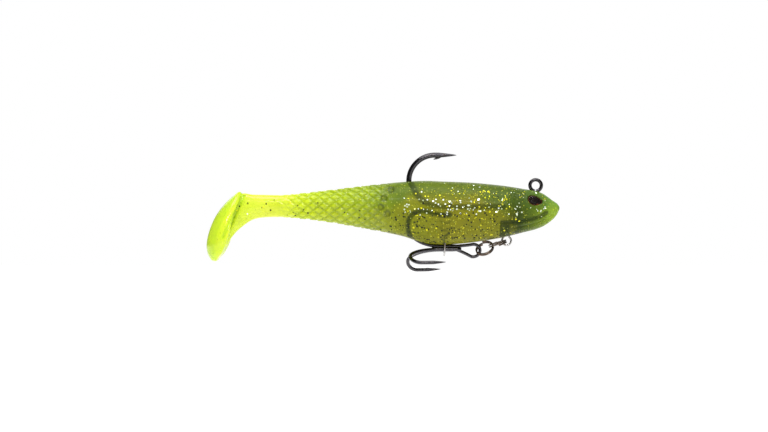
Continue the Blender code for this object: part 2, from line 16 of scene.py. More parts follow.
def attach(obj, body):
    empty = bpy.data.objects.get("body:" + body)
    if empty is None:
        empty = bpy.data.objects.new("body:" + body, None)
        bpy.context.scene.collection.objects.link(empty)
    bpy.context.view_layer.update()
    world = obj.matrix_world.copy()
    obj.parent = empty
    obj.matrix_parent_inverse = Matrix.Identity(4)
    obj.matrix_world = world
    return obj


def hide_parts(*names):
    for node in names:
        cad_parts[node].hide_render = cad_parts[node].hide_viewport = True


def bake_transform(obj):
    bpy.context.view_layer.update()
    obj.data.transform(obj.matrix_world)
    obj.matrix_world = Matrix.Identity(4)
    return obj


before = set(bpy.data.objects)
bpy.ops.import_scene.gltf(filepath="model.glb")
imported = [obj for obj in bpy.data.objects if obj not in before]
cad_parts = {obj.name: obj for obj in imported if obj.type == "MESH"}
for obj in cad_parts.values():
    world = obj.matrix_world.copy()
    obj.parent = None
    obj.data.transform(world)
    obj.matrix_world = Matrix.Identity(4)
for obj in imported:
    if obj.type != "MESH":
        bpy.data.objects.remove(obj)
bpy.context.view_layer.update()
MM = 0.001

# %% [markdown]
# ## The studio
#
# A small glossy object looks best in a light tent: white all round, with one large soft
# lamp above, a narrow one in front and a weaker large one behind.  Mirror rays see the tent
# much darker, as if black flags stood round it, so that the plated wire stays dark with a
# bright streak along it.
# The floor is a plain pale sheet, far enough below to catch no hard shadow.  The lure is
# looked at square from its right side through a long lens.

# %% Camera, floor and lamps
VIEW_MIDDLE = Vector((-54.6, 0.0, -11.0)) * MM
VIEW_WIDTH = 276.5 * MM
LENS = 100.0
SENSOR = 36.0
VIEW_DISTANCE = VIEW_WIDTH * LENS / SENSOR


def new_object(name, data):
    made = bpy.data.objects.new(name, data)
    bpy.context.scene.collection.objects.link(made)
    return made


camera = new_object("camera", bpy.data.cameras.new("camera"))
camera.data.lens = LENS
camera.data.sensor_width = SENSOR
camera.data.clip_start = 0.05
camera.data.clip_end = 20.0
camera.location = VIEW_MIDDLE + Vector((0.0, -VIEW_DISTANCE, 0.0))
camera.rotation_euler = (math.radians(90), 0.0, 0.0)
bpy.context.scene.camera = camera
bpy.context.scene.view_settings.view_transform = "Standard"

FLOOR_Z = -170.0 * MM
FLOOR_HALF = 6.0
floor_mesh = bpy.data.meshes.new("studio_floor")
floor_corners = [(-1, -1), (1, -1), (1, 1), (-1, 1)]
floor_points = [(x * FLOOR_HALF, y * FLOOR_HALF, FLOOR_Z) for x, y in floor_corners]
floor_mesh.from_pydata(floor_points, [], [(0, 1, 2, 3)])
floor = new_object("studio_floor", floor_mesh)

TENT_OVERHEAD, TENT_BESIDE, TENT_MIRRORED = 0.70, 0.36, 0.12
world = bpy.data.worlds.new("light_tent")
world.use_nodes = True
tent = world.node_tree
direction = tent.nodes.new("ShaderNodeTexCoord")
height = tent.nodes.new("ShaderNodeSeparateXYZ")
shade = tent.nodes.new("ShaderNodeMapRange")
seen = tent.nodes.new("ShaderNodeLightPath")
flags = tent.nodes.new("ShaderNodeMix")
strength = tent.nodes.new("ShaderNodeMix")
shade.inputs["From Min"].default_value = -0.1
shade.inputs["From Max"].default_value = 0.8
shade.inputs["To Min"].default_value = TENT_BESIDE
shade.inputs["To Max"].default_value = TENT_OVERHEAD
flags.inputs["B"].default_value = TENT_MIRRORED
strength.inputs["B"].default_value = 1.0
tent.links.new(direction.outputs["Generated"], height.inputs[0])
tent.links.new(height.outputs["Z"], shade.inputs["Value"])
tent.links.new(seen.outputs["Is Camera Ray"], strength.inputs["Factor"])
tent.links.new(seen.outputs["Is Glossy Ray"], flags.inputs["Factor"])
tent.links.new(shade.outputs["Result"], flags.inputs["A"])
tent.links.new(flags.outputs["Result"], strength.inputs["A"])
tent.links.new(strength.outputs["Result"], tent.nodes["Background"].inputs["Strength"])
tent.nodes["Background"].inputs["Color"].default_value = (1.0, 1.0, 1.0, 1.0)
bpy.context.scene.world = world


def softbox(name, place, size, power):
    """A rectangular lamp at place in mm that faces the middle of the lure."""
    lamp = bpy.data.lights.new(name, "AREA")
    lamp.shape = "RECTANGLE"
    lamp.size, lamp.size_y = size[0] * MM, size[1] * MM
    lamp.energy = power
    made = new_object(name, lamp)
    made.location = Vector(place) * MM
    made.rotation_euler = (VIEW_MIDDLE - made.location).to_track_quat("-Z", "Y").to_euler()
    return made


softbox("top_softbox", (-40.0, -130.0, 420.0), (520.0, 260.0), 2.4)
softbox("front_strip", (-20.0, -480.0, 260.0), (300.0, 60.0), 1.3)
softbox("back_softbox", (-80.0, 420.0, 260.0), (600.0, 320.0), 0.9)
print("camera at", [round(v, 3) for v in camera.location])

# %% [markdown]
# ## A small language for finishes
#
# A finish is a graph of shader nodes, but it reads better as arithmetic.  `Value` wraps
# one socket, so `a * 2 + b` adds the Math nodes by itself.  `Finish` is one material: its
# `node` method adds any node, and its `mix` and `ramp` methods handle colours, because
# a Math node would turn a colour grey.

# %% The finish helpers


class Value:
    """One number-carrying socket that can be used in Python expressions."""

    def __init__(self, finish, socket):
        self.finish = finish
        self.socket = socket

    def _math(self, operation, *operands):
        made = self.finish.node("ShaderNodeMath", {"operation": operation}, dict(enumerate(operands)))
        return made.out()

    def __add__(self, other):
        return self._math("ADD", self, other)

    def __radd__(self, other):
        return self._math("ADD", other, self)

    def __sub__(self, other):
        return self._math("SUBTRACT", self, other)

    def __rsub__(self, other):
        return self._math("SUBTRACT", other, self)

    def __mul__(self, other):
        return self._math("MULTIPLY", self, other)

    def __rmul__(self, other):
        return self._math("MULTIPLY", other, self)

    def __truediv__(self, other):
        return self._math("DIVIDE", self, other)

    def smooth(self, start, end):
        """0 below start, 1 above end and a smooth step between."""
        settings = {"interpolation_type": "SMOOTHSTEP"}
        inputs = {"Value": self, "From Min": start, "From Max": end}
        return self.finish.node("ShaderNodeMapRange", settings, inputs).out("Result")


class Node:
    def __init__(self, finish, made):
        self.finish = finish
        self.made = made

    def out(self, name=0):
        return Value(self.finish, self.made.outputs[name])


def linear(colour):
    """A 0-255 display colour as the linear numbers that shaders take."""
    parts = [c / 255 for c in colour]
    return tuple(c / 12.92 if c <= 0.04045 else ((c + 0.055) / 1.055) ** 2.4 for c in parts) + (1.0,)


class Finish:
    """A material under construction."""

    def __init__(self, name, roughness=0.4, metallic=0.0):
        self.material = bpy.data.materials.new(name)
        self.material.use_nodes = True
        self.tree = self.material.node_tree
        self.shader = self.tree.nodes["Principled BSDF"]
        self.shader.inputs["Roughness"].default_value = roughness
        self.shader.inputs["Metallic"].default_value = metallic

    def feed(self, socket, value):
        if isinstance(value, Value):
            self.tree.links.new(value.socket, socket)
        elif value is not None:
            socket.default_value = value

    def node(self, kind, settings=None, inputs=None):
        made = self.tree.nodes.new(kind)
        for name, value in (settings or {}).items():
            setattr(made, name, value)
        for name, value in (inputs or {}).items():
            self.feed(made.inputs[name], value)
        return Node(self, made)

    def set(self, **inputs):
        """Sets sockets of the shader; underscores in a name stand for spaces."""
        for name, value in inputs.items():
            self.feed(self.shader.inputs[name.replace("_", " ")], value)

    def mix(self, share, first, second, blend="MIX"):
        made = self.tree.nodes.new("ShaderNodeMix")
        made.data_type = "RGBA"
        made.blend_type = blend
        self.feed(made.inputs[0], share)
        self.feed(made.inputs[6], first)
        self.feed(made.inputs[7], second)
        return Value(self, made.outputs[2])

    def ramp(self, share, stops):
        """stops are (place, display colour)."""
        made = self.tree.nodes.new("ShaderNodeValToRGB")
        elements = made.color_ramp.elements
        while len(elements) > 1:
            elements.remove(elements[-1])
        elements[0].position, elements[0].color = stops[0][0], linear(stops[0][1])
        for place, colour in stops[1:]:
            elements.new(place).color = linear(colour)
        self.feed(made.inputs[0], share)
        return Value(self, made.outputs[0])

    def attribute(self, name):
        return self.node("ShaderNodeAttribute", {"attribute_name": name})

    def place(self, name="rest_mm"):
        """x, y and z in mm of the unbent piece, and the vector itself."""
        vector = self.attribute(name).out("Vector")
        parts = self.node("ShaderNodeSeparateXYZ", None, {0: vector})
        return parts.out("X"), parts.out("Y"), parts.out("Z"), vector

    def noise(self, vector, scale, detail=2.0, roughness=0.5):
        inputs = {"Vector": vector, "Scale": scale, "Detail": detail, "Roughness": roughness}
        return self.node("ShaderNodeTexNoise", None, inputs).out("Fac")

    def flecks(self, vector, scale):
        """Small round spots, and a number from 0 to 1 that is the same all over one spot."""
        cells = self.node("ShaderNodeTexVoronoi", None, {"Vector": vector, "Scale": scale})
        parts = self.node("ShaderNodeSeparateXYZ", None, {0: cells.out("Color")})
        return cells.out("Distance").smooth(0.30, 0.17), parts.out("X")

    def bump(self, height, strength, distance):
        inputs = {"Height": height, "Strength": strength, "Distance": distance}
        return self.node("ShaderNodeBump", None, inputs).out("Normal")


FLOOR_BRIGHT_FROM, FLOOR_BRIGHT_TO = 0.30, 0.85
floor_finish = Finish("pale_floor_paper", roughness=0.9)
_, _, _, floor_place = floor_finish.place("position")
away = floor_finish.node("ShaderNodeVectorMath", {"operation": "LENGTH"}, {0: floor_place}).out("Value")
paper_mottle = floor_finish.noise(floor_place, 3.0)
paper = floor_finish.ramp(paper_mottle, [(0.3, (252, 252, 252)), (0.7, (255, 255, 255))])
floor_finish.set(Base_Color=paper)
far_floor = away.smooth(FLOOR_BRIGHT_FROM, FLOOR_BRIGHT_TO)
floor_finish.set(Emission_Color=floor_finish.mix(far_floor, linear((178, 178, 178)), (1.0, 1.0, 1.0, 1.0)))
floor_finish.shader.inputs["Emission Strength"].default_value = 0.62
floor.data.materials.append(floor_finish.material)
print("finish helpers ready")

# %% [markdown]
# ## The shape of the moulding
#
# The soft body was poured in a two-part mould.  Its outline is a handful of stations along
# the fish, each with the height of the back, the belly and the half width; a smooth curve
# runs through them.  A slightly squared ellipse gives the cross-section.

# %% Body outline
BODY_STATIONS = [
    (8.5, -7.0, -9.3, 2.0),
    (6.2, -5.5, -12.2, 3.8),
    (2.0, -2.7, -15.0, 5.7),
    (-5.0, -1.2, -17.0, 7.4),
    (-13.0, 0.0, -18.9, 8.3),
    (-24.0, 1.0, -20.6, 8.7),
    (-34.0, 1.4, -21.3, 8.6),
    (-40.0, 1.6, -20.8, 8.3),
    (-48.0, 1.2, -18.2, 7.7),
    (-61.0, -0.1, -15.6, 6.4),
    (-76.0, -1.9, -13.0, 4.7),
    (-90.0, -3.4, -11.5, 3.1),
    (-98.0, -3.4, -11.5, 2.6),
    (-102.0, -3.3, -12.4, 2.4),
    (-106.0, -3.0, -15.1, 2.2),
    (-109.0, -6.5, -18.1, 1.8),
    (-112.4, -13.0, -23.2, 1.1),
]
BODY_ROUNDNESS = 0.9


def interpolate(stations, x):
    """Smooth values between stations, which are sorted by falling first value."""
    last = len(stations) - 2
    k = next((i for i in range(last) if x > stations[i + 1][0]), last)
    here, there = stations[k], stations[k + 1]
    before = stations[max(k - 1, 0)]
    beyond = stations[min(k + 2, last + 1)]
    span = there[0] - here[0]
    t = (x - here[0]) / span
    values = []
    for c in range(1, len(here)):
        slope_a = (there[c] - before[c]) / (there[0] - before[0]) * span
        slope_b = (beyond[c] - here[c]) / (beyond[0] - here[0]) * span
        rise = there[c] - here[c]
        value = here[c] + t * slope_a + t * t * (3 * rise - 2 * slope_a - slope_b)
        value += t * t * t * (slope_a + slope_b - 2 * rise)
        values.append(value)
    return values


def power(value, exponent):
    return np.sign(value) * np.abs(value) ** exponent


def section(x, sides, grow=0.0):
    """Points of one upright cross-section of the body, in mm."""
    top, bottom, half_width = interpolate(BODY_STATIONS, x)
    turns = 2 * math.pi * np.arange(sides) / sides
    y = (half_width + grow) * power(np.cos(turns), BODY_ROUNDNESS)
    z = (top + bottom) / 2 + ((top - bottom) / 2 + grow) * power(np.sin(turns), BODY_ROUNDNESS)
    return np.stack([np.full(sides, x), y, z], axis=1)


def skin_point(x, turn):
    top, bottom, half_width = interpolate(BODY_STATIONS, x)
    y = half_width * power(math.cos(turn), BODY_ROUNDNESS)
    z = (top + bottom) / 2 + (top - bottom) / 2 * power(math.sin(turn), BODY_ROUNDNESS)
    return Vector((x, float(y), float(z)))


belly_top, belly_bottom = interpolate(BODY_STATIONS, -34.0)[:2]
print("depth at the belly, mm:", round(belly_top - belly_bottom, 1))

# %% [markdown]
# ## Where the eyes sit
#
# Each eye lies in a shallow socket in the cheek and faces the way the skin faces there.
# The eye's own directions are worked out once, and the socket, the printed foil and the
# clear lens all use them.

# %% Eye place and outline
EYE_X, EYE_Z = -0.4, -5.3
EYE_LENGTH, EYE_HEIGHT = 5.6, 3.8


def eye_frame(side):
    """Centre of an eye on the skin, and its outward, forward and upward directions."""
    turn = 0.0
    while skin_point(EYE_X, turn).z < EYE_Z:
        turn += 0.002
    here = skin_point(EYE_X, turn)
    along = skin_point(EYE_X + 0.5, turn) - skin_point(EYE_X - 0.5, turn)
    around = skin_point(EYE_X, turn + 0.02) - skin_point(EYE_X, turn - 0.02)
    outward = along.cross(around).normalized()
    if outward.y < 0:
        outward = -outward
    here.y *= side
    outward.y *= side
    forward = (Vector((1, 0, 0)) - outward * outward.x).normalized()
    upward = outward.cross(forward) * -side
    return here, outward, forward, upward


def eye_edge(turns):
    """The teardrop outline, blunt at the back and pointed at the front, in mm."""
    x, y = np.cos(turns), np.sin(turns)
    narrowing = 1.0 - 0.28 * x - 0.14 * x * x
    tilt = 0.10 * (1.0 - x)
    return EYE_LENGTH / 2 * x, EYE_HEIGHT / 2 * (y * narrowing + tilt - 0.12)


def eye_reach(a, b):
    """How far out points (a, b) of an eye's plane are: 1 on the outline."""
    edge_a, edge_b = eye_edge(np.linspace(0, 2 * math.pi, 721))
    edge_turn = np.unwrap(np.arctan2(edge_b, edge_a))
    reach = np.hypot(edge_a, edge_b)
    turn = np.arctan2(b, a)
    turn = np.where(turn < edge_turn[0], turn + 2 * math.pi, turn)
    return np.hypot(a, b) / np.interp(turn, edge_turn, reach)


print("eye turned outward by", [round(v, 2) for v in eye_frame(-1)[1]])

# %% [markdown]
# ## Relief in the skin
#
# The mould's cavity carries the fish's features, so they are real height on the skin and
# not only shading: rows of diamond scales on the rear half, a few round dimples where
# they begin, the jaw line, the edge of the gill cover, and the eye sockets.  Each feature
# is a small function that returns a height in mm for every point of the skin.

# %% Relief features
SCALE_LENGTH, SCALE_DEPTH = 3.9, 3.35
SCALE_RELIEF = 0.42
DIMPLE_R, DIMPLE_DEPTH = 0.95, 0.45
DIMPLES = [(-52.1, -1.6), (-54.6, -4.6), (-55.7, -7.8), (-53.4, -10.2)]


def step(value, start, end):
    t = np.clip((value - start) / (end - start), 0, 1)
    return t * t * (3 - 2 * t)


def scale_height(x, girth):
    """Overlapping diamond scales; girth is the distance round the body from its widest line."""
    a = x / SCALE_LENGTH + girth / SCALE_DEPTH
    b = x / SCALE_LENGTH - girth / SCALE_DEPTH
    across = np.abs(np.mod(a, 1) - 0.5) * 2
    along = np.abs(np.mod(b, 1) - 0.5) * 2
    edge = np.maximum(across, along)
    pad = 1 - step(edge, 0.45, 1.0)
    lift = 0.35 * (1 - np.mod(a, 1)) * (1 - np.mod(b, 1))
    shown = step(-x, 51.5, 57.0) * (1 - step(-x, 84.0, 95.0))
    return SCALE_RELIEF * (pad + lift - 1.0) * shown


def line_distance(x, z, points):
    """Distance from each (x, z) to a bent line through points."""
    nearest = np.full(x.shape, 1e9)
    for (ax, az), (bx, bz) in zip(points, points[1:]):
        run = (bx - ax) ** 2 + (bz - az) ** 2
        t = np.clip(((x - ax) * (bx - ax) + (z - az) * (bz - az)) / run, 0, 1)
        nearest = np.minimum(nearest, np.hypot(x - ax - t * (bx - ax), z - az - t * (bz - az)))
    return nearest


def crease(x, z, points, width, depth):
    return -depth * np.exp(-((line_distance(x, z, points) / width) ** 2))


def head_height(x, y, z):
    """Jaw line, lip, gill cover edge and cheek, the same on both sides."""
    upper_lip = [(-12.2, -13.4), (-7.0, -13.3), (-1.0, -11.8), (4.0, -10.4)]
    lower_lip = [(-8.3, -15.3), (-3.0, -14.6), (1.5, -13.2), (6.0, -10.6)]
    gill_edge = [(-9.4, -3.6), (-10.0, -7.0), (-9.6, -10.5), (-8.2, -13.2)]
    height = crease(x, z, upper_lip, 0.55, 0.35)
    height += crease(x, z, lower_lip, 0.5, 0.42)
    height += -crease(x, z, [(-8.8, -14.3), (-2.5, -13.2), (3.0, -11.6)], 0.6, 0.25)
    height += crease(x, z, gill_edge, 0.4, 0.3)
    height += -crease(x, z, [(cx + 0.9, cz) for cx, cz in gill_edge], 0.6, 0.18)
    return height * step(np.abs(y), 1.0, 2.5)


def dimple_height(x, z):
    height = np.zeros_like(x)
    for cx, cz in DIMPLES:
        height -= DIMPLE_DEPTH * np.exp(-(((x - cx) ** 2 + (z - cz) ** 2) / DIMPLE_R**2) ** 1.5)
    return height


def socket_height(points):
    """The two eye sockets, with a thin raised lid round each."""
    height = np.zeros(points.shape[:-1])
    for side in (-1, 1):
        here, outward, forward, upward = (np.array(v) for v in eye_frame(side))
        offset = points - here
        out = offset @ outward
        reach = eye_reach(offset @ forward, offset @ upward)
        near = (np.abs(out) < 2.5) & (points[..., 1] * side > 0)
        height += np.where(near, -1.15 * (1 - step(reach, 0.93, 1.06)), 0)
        height += np.where(near, 0.16 * np.exp(-(((reach - 1.17) / 0.09) ** 2)), 0)
    return height


print("scale rows every", SCALE_DEPTH, "mm")

# %% [markdown]
# ## The soft skin
#
# One moulding bends at two places, and the frame has two hinges for it.  The skin is a
# fine tube of rings.  It is made as one grid of points, so that its shading runs on
# without a break, and then cut into a front and a rear piece behind the scales' thickest
# rows.

# %% Skin grid
SKIN_SIDES = 176
SKIN_CUT_X = -72.0
SKIN_END_X = -112.4


def skin_places():
    """Ring positions: close together on the head and the scales."""
    places = []
    for start, end, gap in ((8.5, 6.5, 0.12), (6.5, -13, 0.24), (-13, -50, 0.5), (-50, SKIN_CUT_X, 0.3)):
        count = round((start - end) / gap)
        places += [start + (end - start) * i / count for i in range(count)]
    cut = len(places)
    for start, end, gap in ((SKIN_CUT_X, -93, 0.3), (-93, SKIN_END_X, 0.4)):
        count = round((start - end) / gap)
        places += [start + (end - start) * i / count for i in range(count)]
    return places + [SKIN_END_X], cut


def girth_from_side(grid):
    """Distance round each ring from the body's widest line, up positive, on both sides."""
    gaps = np.linalg.norm(np.roll(grid, -1, axis=1) - grid, axis=2)
    run = np.concatenate([np.zeros((len(grid), 1)), np.cumsum(gaps, axis=1)], axis=1)
    total, half = run[:, -1:], run[:, SKIN_SIDES // 2][:, None]
    run = run[:, :-1]
    k = np.arange(SKIN_SIDES)[None, :]
    quarter = SKIN_SIDES // 4
    girth = np.where(k <= quarter, run, half - run)
    return np.where(k > 3 * quarter, run - total, girth)


def grid_normals(grid):
    along = np.gradient(grid, axis=0)
    around = np.roll(grid, -1, axis=1) - np.roll(grid, 1, axis=1)
    normals = np.cross(around, along)
    return normals / np.maximum(np.linalg.norm(normals, axis=2, keepdims=True), 1e-9)


places, skin_cut = skin_places()
skin_rest = np.array([section(x, SKIN_SIDES) for x in places])
skin_girth = girth_from_side(skin_rest)
skin_normals = grid_normals(skin_rest)
skin_middle = skin_rest.mean(axis=1, keepdims=True)
if ((skin_rest - skin_middle) * skin_normals).sum() < 0:
    skin_normals = -skin_normals
rest_x, rest_y, rest_z = skin_rest[..., 0], skin_rest[..., 1], skin_rest[..., 2]
relief = scale_height(rest_x, skin_girth) + head_height(rest_x, rest_y, rest_z)
relief += dimple_height(rest_x, rest_z) + socket_height(skin_rest)
mould_seam = 0.05 * np.exp(-((rest_y / 0.30) ** 2)) * (np.abs(rest_z - skin_middle[..., 2]) > 1)
relief += mould_seam * step(-rest_x, -6.0, 0.0)
skin = skin_rest + skin_normals * relief[..., None]
NOSE_ROUND_X, NOSE_ROUND_LENGTH, NOSE_ROUNDING = 7.4, 1.1, 0.8
nose_share = np.clip((rest_x - NOSE_ROUND_X) / NOSE_ROUND_LENGTH, 0, 1)
nose_scale = np.sqrt(1 - NOSE_ROUNDING * nose_share**2)[..., None]
nose_scale = np.concatenate([np.ones_like(nose_scale), nose_scale, nose_scale], axis=-1)
skin = skin_middle + (skin - skin_middle) * nose_scale


def nearest_eye(points):
    """Reach of each point in the plane of the eye on its side."""
    reach = np.full(points.shape[:-1], 9.0)
    for side in (-1, 1):
        here, _, forward, upward = (np.array(v) for v in eye_frame(side))
        offset = points - here
        near = (np.linalg.norm(offset, axis=-1) < 6) & (points[..., 1] * side > 0)
        reach = np.where(near, eye_reach(offset @ forward, offset @ upward), reach)
    return reach


skin_eye = nearest_eye(skin_rest)
print("skin rings:", skin.shape[0], "sides:", skin.shape[1])

# %% [markdown]
# ## Tools for meshes, and the paddle's outline
#
# The paddle is a lean oval with stations of its own, from its top to its foot, and every
# turned or swept piece of the lure is a skin over rings of points.  These tools make such
# skins, join solids with a Boolean, and edit one as a bmesh.

# %% Paddle outline
PADDLE_STATIONS = [
    (-106.3, -2.5, 1.0, 3.0),
    (-107.8, -5.0, 3.4, 9.0),
    (-110.3, -8.4, 4.8, 14.0),
    (-112.7, -12.6, 5.8, 17.0),
    (-114.4, -17.0, 6.2, 18.5),
    (-115.3, -21.0, 6.2, 17.5),
    (-115.6, -24.2, 5.2, 14.0),
    (-115.7, -26.5, 2.8, 8.0),
]
PADDLE_SIDES = 112
PADDLE_RINGS = 90
PADDLE_ROUNDNESS = 0.65
PADDLE_SWEEP = 3.2
PADDLE_SWEEP_WIDTH = 18.0

# %% Mesh tools
def mesh_from_rings(name, rings, closed=False, caps=(True, True)):
    """A skin over rings of points in mm."""
    bm = bmesh.new()
    loops = [[bm.verts.new(Vector(p) * MM) for p in ring] for ring in rings]
    pairs = list(zip(loops, loops[1:]))
    if closed:
        pairs.append((loops[-1], loops[0]))
    for first, second in pairs:
        for i in range(len(first)):
            j = (i + 1) % len(first)
            bm.faces.new((first[i], first[j], second[j], second[i]))
    if not closed and caps[0]:
        bm.faces.new(list(reversed(loops[0])))
    if not closed and caps[1]:
        bm.faces.new(loops[-1])
    bmesh.ops.recalc_face_normals(bm, faces=bm.faces)
    mesh = bpy.data.meshes.new(name)
    bm.to_mesh(mesh)
    bm.free()
    mesh.shade_smooth()
    return mesh


def paddle_rings():
    stations = [(-i, *values) for i, values in enumerate(PADDLE_STATIONS)]
    last = len(PADDLE_STATIONS) - 1
    turns = 2 * math.pi * np.arange(PADDLE_SIDES) / PADDLE_SIDES
    rings = []
    for i in range(PADDLE_RINGS + 1):
        share = i / PADDLE_RINGS
        s = -last * (0.5 - 0.5 * math.cos(math.pi * share))
        x, z, thickness, width = interpolate(stations, s)
        lower = interpolate(stations, max(s - 0.05, -last))
        upper = interpolate(stations, min(s + 0.05, 0.0))
        down = Vector((lower[0] - upper[0], lower[1] - upper[1])).normalized()
        depth = thickness / 2 * power(np.cos(turns), PADDLE_ROUNDNESS)
        y = width / 2 * np.sin(turns)
        depth = depth + PADDLE_SWEEP * (2 * y / PADDLE_SWEEP_WIDTH) ** 2
        rings.append(np.stack([x - depth * down.y, y, z + depth * down.x], axis=1))
    foot = rings[-1].mean(axis=0)
    for shrink, drop in ((0.86, 0.35), (0.6, 0.62), (0.3, 0.75)):
        rings.append(foot + (rings[PADDLE_RINGS] - foot) * shrink + np.array([0.0, 0.0, -drop]))
    return rings


def apply_modifiers(thing):
    graph = bpy.context.evaluated_depsgraph_get()
    finished = bpy.data.meshes.new_from_object(thing.evaluated_get(graph))
    thing.modifiers.clear()
    old = thing.data
    thing.data = finished
    finished.name = old.name
    bpy.data.meshes.remove(old)
    return thing


def unite(thing, *others):
    """Joins others into thing as one solid, and removes them."""
    for other in others:
        joining = thing.modifiers.new(other.name, "BOOLEAN")
        joining.operation = "UNION"
        joining.object = other
    bpy.context.view_layer.update()
    apply_modifiers(thing)
    for other in others:
        bpy.data.objects.remove(other, do_unlink=True)
    thing.data.shade_smooth()
    return thing


def edit(thing, change):
    """Runs change on the piece's mesh as a bmesh, and gives back its result."""
    bm = bmesh.new()
    bm.from_mesh(thing.data)
    result = change(bm)
    bm.to_mesh(thing.data)
    bm.free()
    return result


# %% [markdown]
# ## Two skin pieces, and the paddle on the rear one
#
# The boot-shaped paddle leans back and its rim sweeps forward like a spoon, so the water
# throws it from side to side.  It is its own loft, joined to the stem by a Boolean; a few
# rounds of smoothing along the join then give the moulded fillet, and a shallow groove is
# pressed where the rim's front edge meets the web.

# %% Skins
PADDLE_GROOVE = [(-104.9, -3.4), (-107.2, -8.6), (-109.6, -13.6), (-111.9, -18.6)]
PADDLE_RIM = [
    (-106.2, -2.0), (-110.6, -7.4), (-113.9, -12.6), (-115.9, -17.6), (-116.7, -22.0), (-116.2, -26.0),
]
front_mesh = mesh_from_rings("soft_body_front", skin[: skin_cut + 1], caps=(True, False))
front_skin = new_object("soft_body_front", front_mesh)
rear_skin = new_object("soft_body_rear", mesh_from_rings("soft_body_rear", skin[skin_cut:]))
unite(rear_skin, new_object("paddle", mesh_from_rings("paddle", paddle_rings())))


def soften_join(bm):
    near_join = []
    for v in bm.verts:
        x, y, z = v.co / MM
        if -112.5 < x < -102.5 and z > -20.0 and abs(y) < 5.5:
            near_join.append(v)
    for _ in range(16):
        bmesh.ops.smooth_vert(
            bm, verts=near_join, factor=0.5, use_axis_x=True, use_axis_y=True, use_axis_z=True
        )
    return len(near_join)


def press_groove(bm):
    bm.normal_update()
    near = [v for v in bm.verts if v.co.x / MM < -101 and abs(v.co.y / MM) > 1.2]
    spots = np.array([v.co / MM for v in near])
    depth = crease(spots[:, 0], spots[:, 2], PADDLE_GROOVE, 0.55, 0.38)
    depth += -crease(spots[:, 0] + 2.2, spots[:, 2] - 0.6, PADDLE_GROOVE, 0.9, 0.22)
    for v, d in zip(near, depth):
        v.co += v.normal * float(d) * MM


def open_cut(bm):
    """Removes the face that closed the tube where the two skin pieces meet."""
    lid = [f for f in bm.faces if all(abs(v.co.x / MM - SKIN_CUT_X) < 0.5 for v in f.verts)]
    lid = [f for f in lid if f.calc_area() / MM**2 > 2.0]
    bmesh.ops.delete(bm, geom=lid, context="FACES_ONLY")
    return len(lid)


print("points smoothed at the paddle:", edit(rear_skin, soften_join))
edit(rear_skin, press_groove)
print("faces opened at the cut:", edit(rear_skin, open_cut))

# %% [markdown]
# ## What shows through
#
# The plastic lets through a few millimetres of light, so the lead head, the hook's shank,
# the treble's hidden point and the keeper show as soft dark shapes.  Where they lie is
# known, so a value from 0 to 1 is stored on the skin for them and the finish darkens by it:
# painted shade.  The same value also paints shade along the jaw line and in a ring round
# each dimple.  The skin is also slightly see-through, so the real pieces inside show too.

# %% Values stored on the skin
SHANK_LINE = [(-39.2, -6.5), (-36.8, -7.4), (-33.0, -7.75), (-12.0, -7.75)]
BEND_LINE = [(-45.3, 1.6), (-44.5, -0.2), (-43.2, -2.9), (-41.3, -5.2), (-39.2, -6.5)]
TINE_LINE = [
    (-43.6, -20.6), (-44.9, -18.8), (-45.9, -16.4), (-46.1, -14.2), (-45.7, -12.2),
    (-44.5, -10.3), (-42.5, -9.3), (-40.5, -9.2), (-38.2, -9.6),
    (-36.2, -10.2), (-34.0, -10.7), (-31.2, -10.6),
]
KEEPER_LINE = [(-33.1, -21.0), (-33.0, -18.4), (-31.6, -17.3)]
KEEPER_COILS = [
    [(-34.6, z + 0.5), (-33.6, z - 0.5), (-31.6, z - 0.5), (-30.8, z + 0.5)] for z in (-10.6, -13.1, -15.6)
]
JAW_SHADOW = [(-9.6, -13.2), (-6.4, -13.2), (-2.6, -12.4), (1.4, -11.2), (3.4, -9.8)]


def line_shade(x, z, line, width):
    return 1 - step(line_distance(x, z, line), width * 0.45, width)


def painted_shade(x, y, z):
    """Painted shade at each point: over the hard pieces inside, along the jaw and round the dimples."""
    side = step(np.abs(y), 0.8, 3.2)
    shade = 0.74 * line_shade(x, z, SHANK_LINE, 1.3)
    shade = np.maximum(shade, 0.8 * line_shade(x, z, BEND_LINE, 1.5))
    shade = np.maximum(shade, 0.95 * line_shade(x, z, TINE_LINE, 1.25) * (z > -21.4))
    shade = np.maximum(shade, 0.8 * line_shade(x, z, KEEPER_LINE, 0.6))
    for coil in KEEPER_COILS:
        shade = np.maximum(shade, 0.42 * line_shade(x, z, coil, 0.6))
    keel = step(x, -13.5, -12.9) * step(-z, 12.2, 13.0) * (1 - step(x, -10.5, -8.5))
    shade = np.maximum(shade, 0.95 * keel)
    lead = step(x, -10.2, -9.2) * (1 - step(x, 2.0, 4.6)) * step(-z, 2.0, 4.0)
    shade = np.maximum(shade, 0.30 * lead)
    shade = np.maximum(shade, 0.85 * line_shade(x, z, JAW_SHADOW, 1.15))
    # painted shade in a ring round each dimple's hollow
    for cx, cz in DIMPLES:
        shade = np.maximum(shade, 0.62 * np.exp(-(((np.hypot(x - cx, z - cz) - DIMPLE_R) / 0.42) ** 2)))
    return shade * side


def remember(thing, name, values, kind="FLOAT"):
    """Stores one value, or one vector, at each point of the piece."""
    mesh = thing.data
    stored = mesh.attributes.get(name) or mesh.attributes.new(name, kind, "POINT")
    field = "vector" if kind == "FLOAT_VECTOR" else "value"
    stored.data.foreach_set(field, np.asarray(values, np.float32).ravel())


def points_of(thing):
    spots = np.empty(len(thing.data.vertices) * 3, np.float32)
    thing.data.vertices.foreach_get("co", spots)
    return spots.reshape(-1, 3) / MM


def remember_place(thing):
    """Stores where each point lies at rest, in mm, so that a finish bends with the piece."""
    remember(thing, "rest_mm", points_of(thing), "FLOAT_VECTOR")


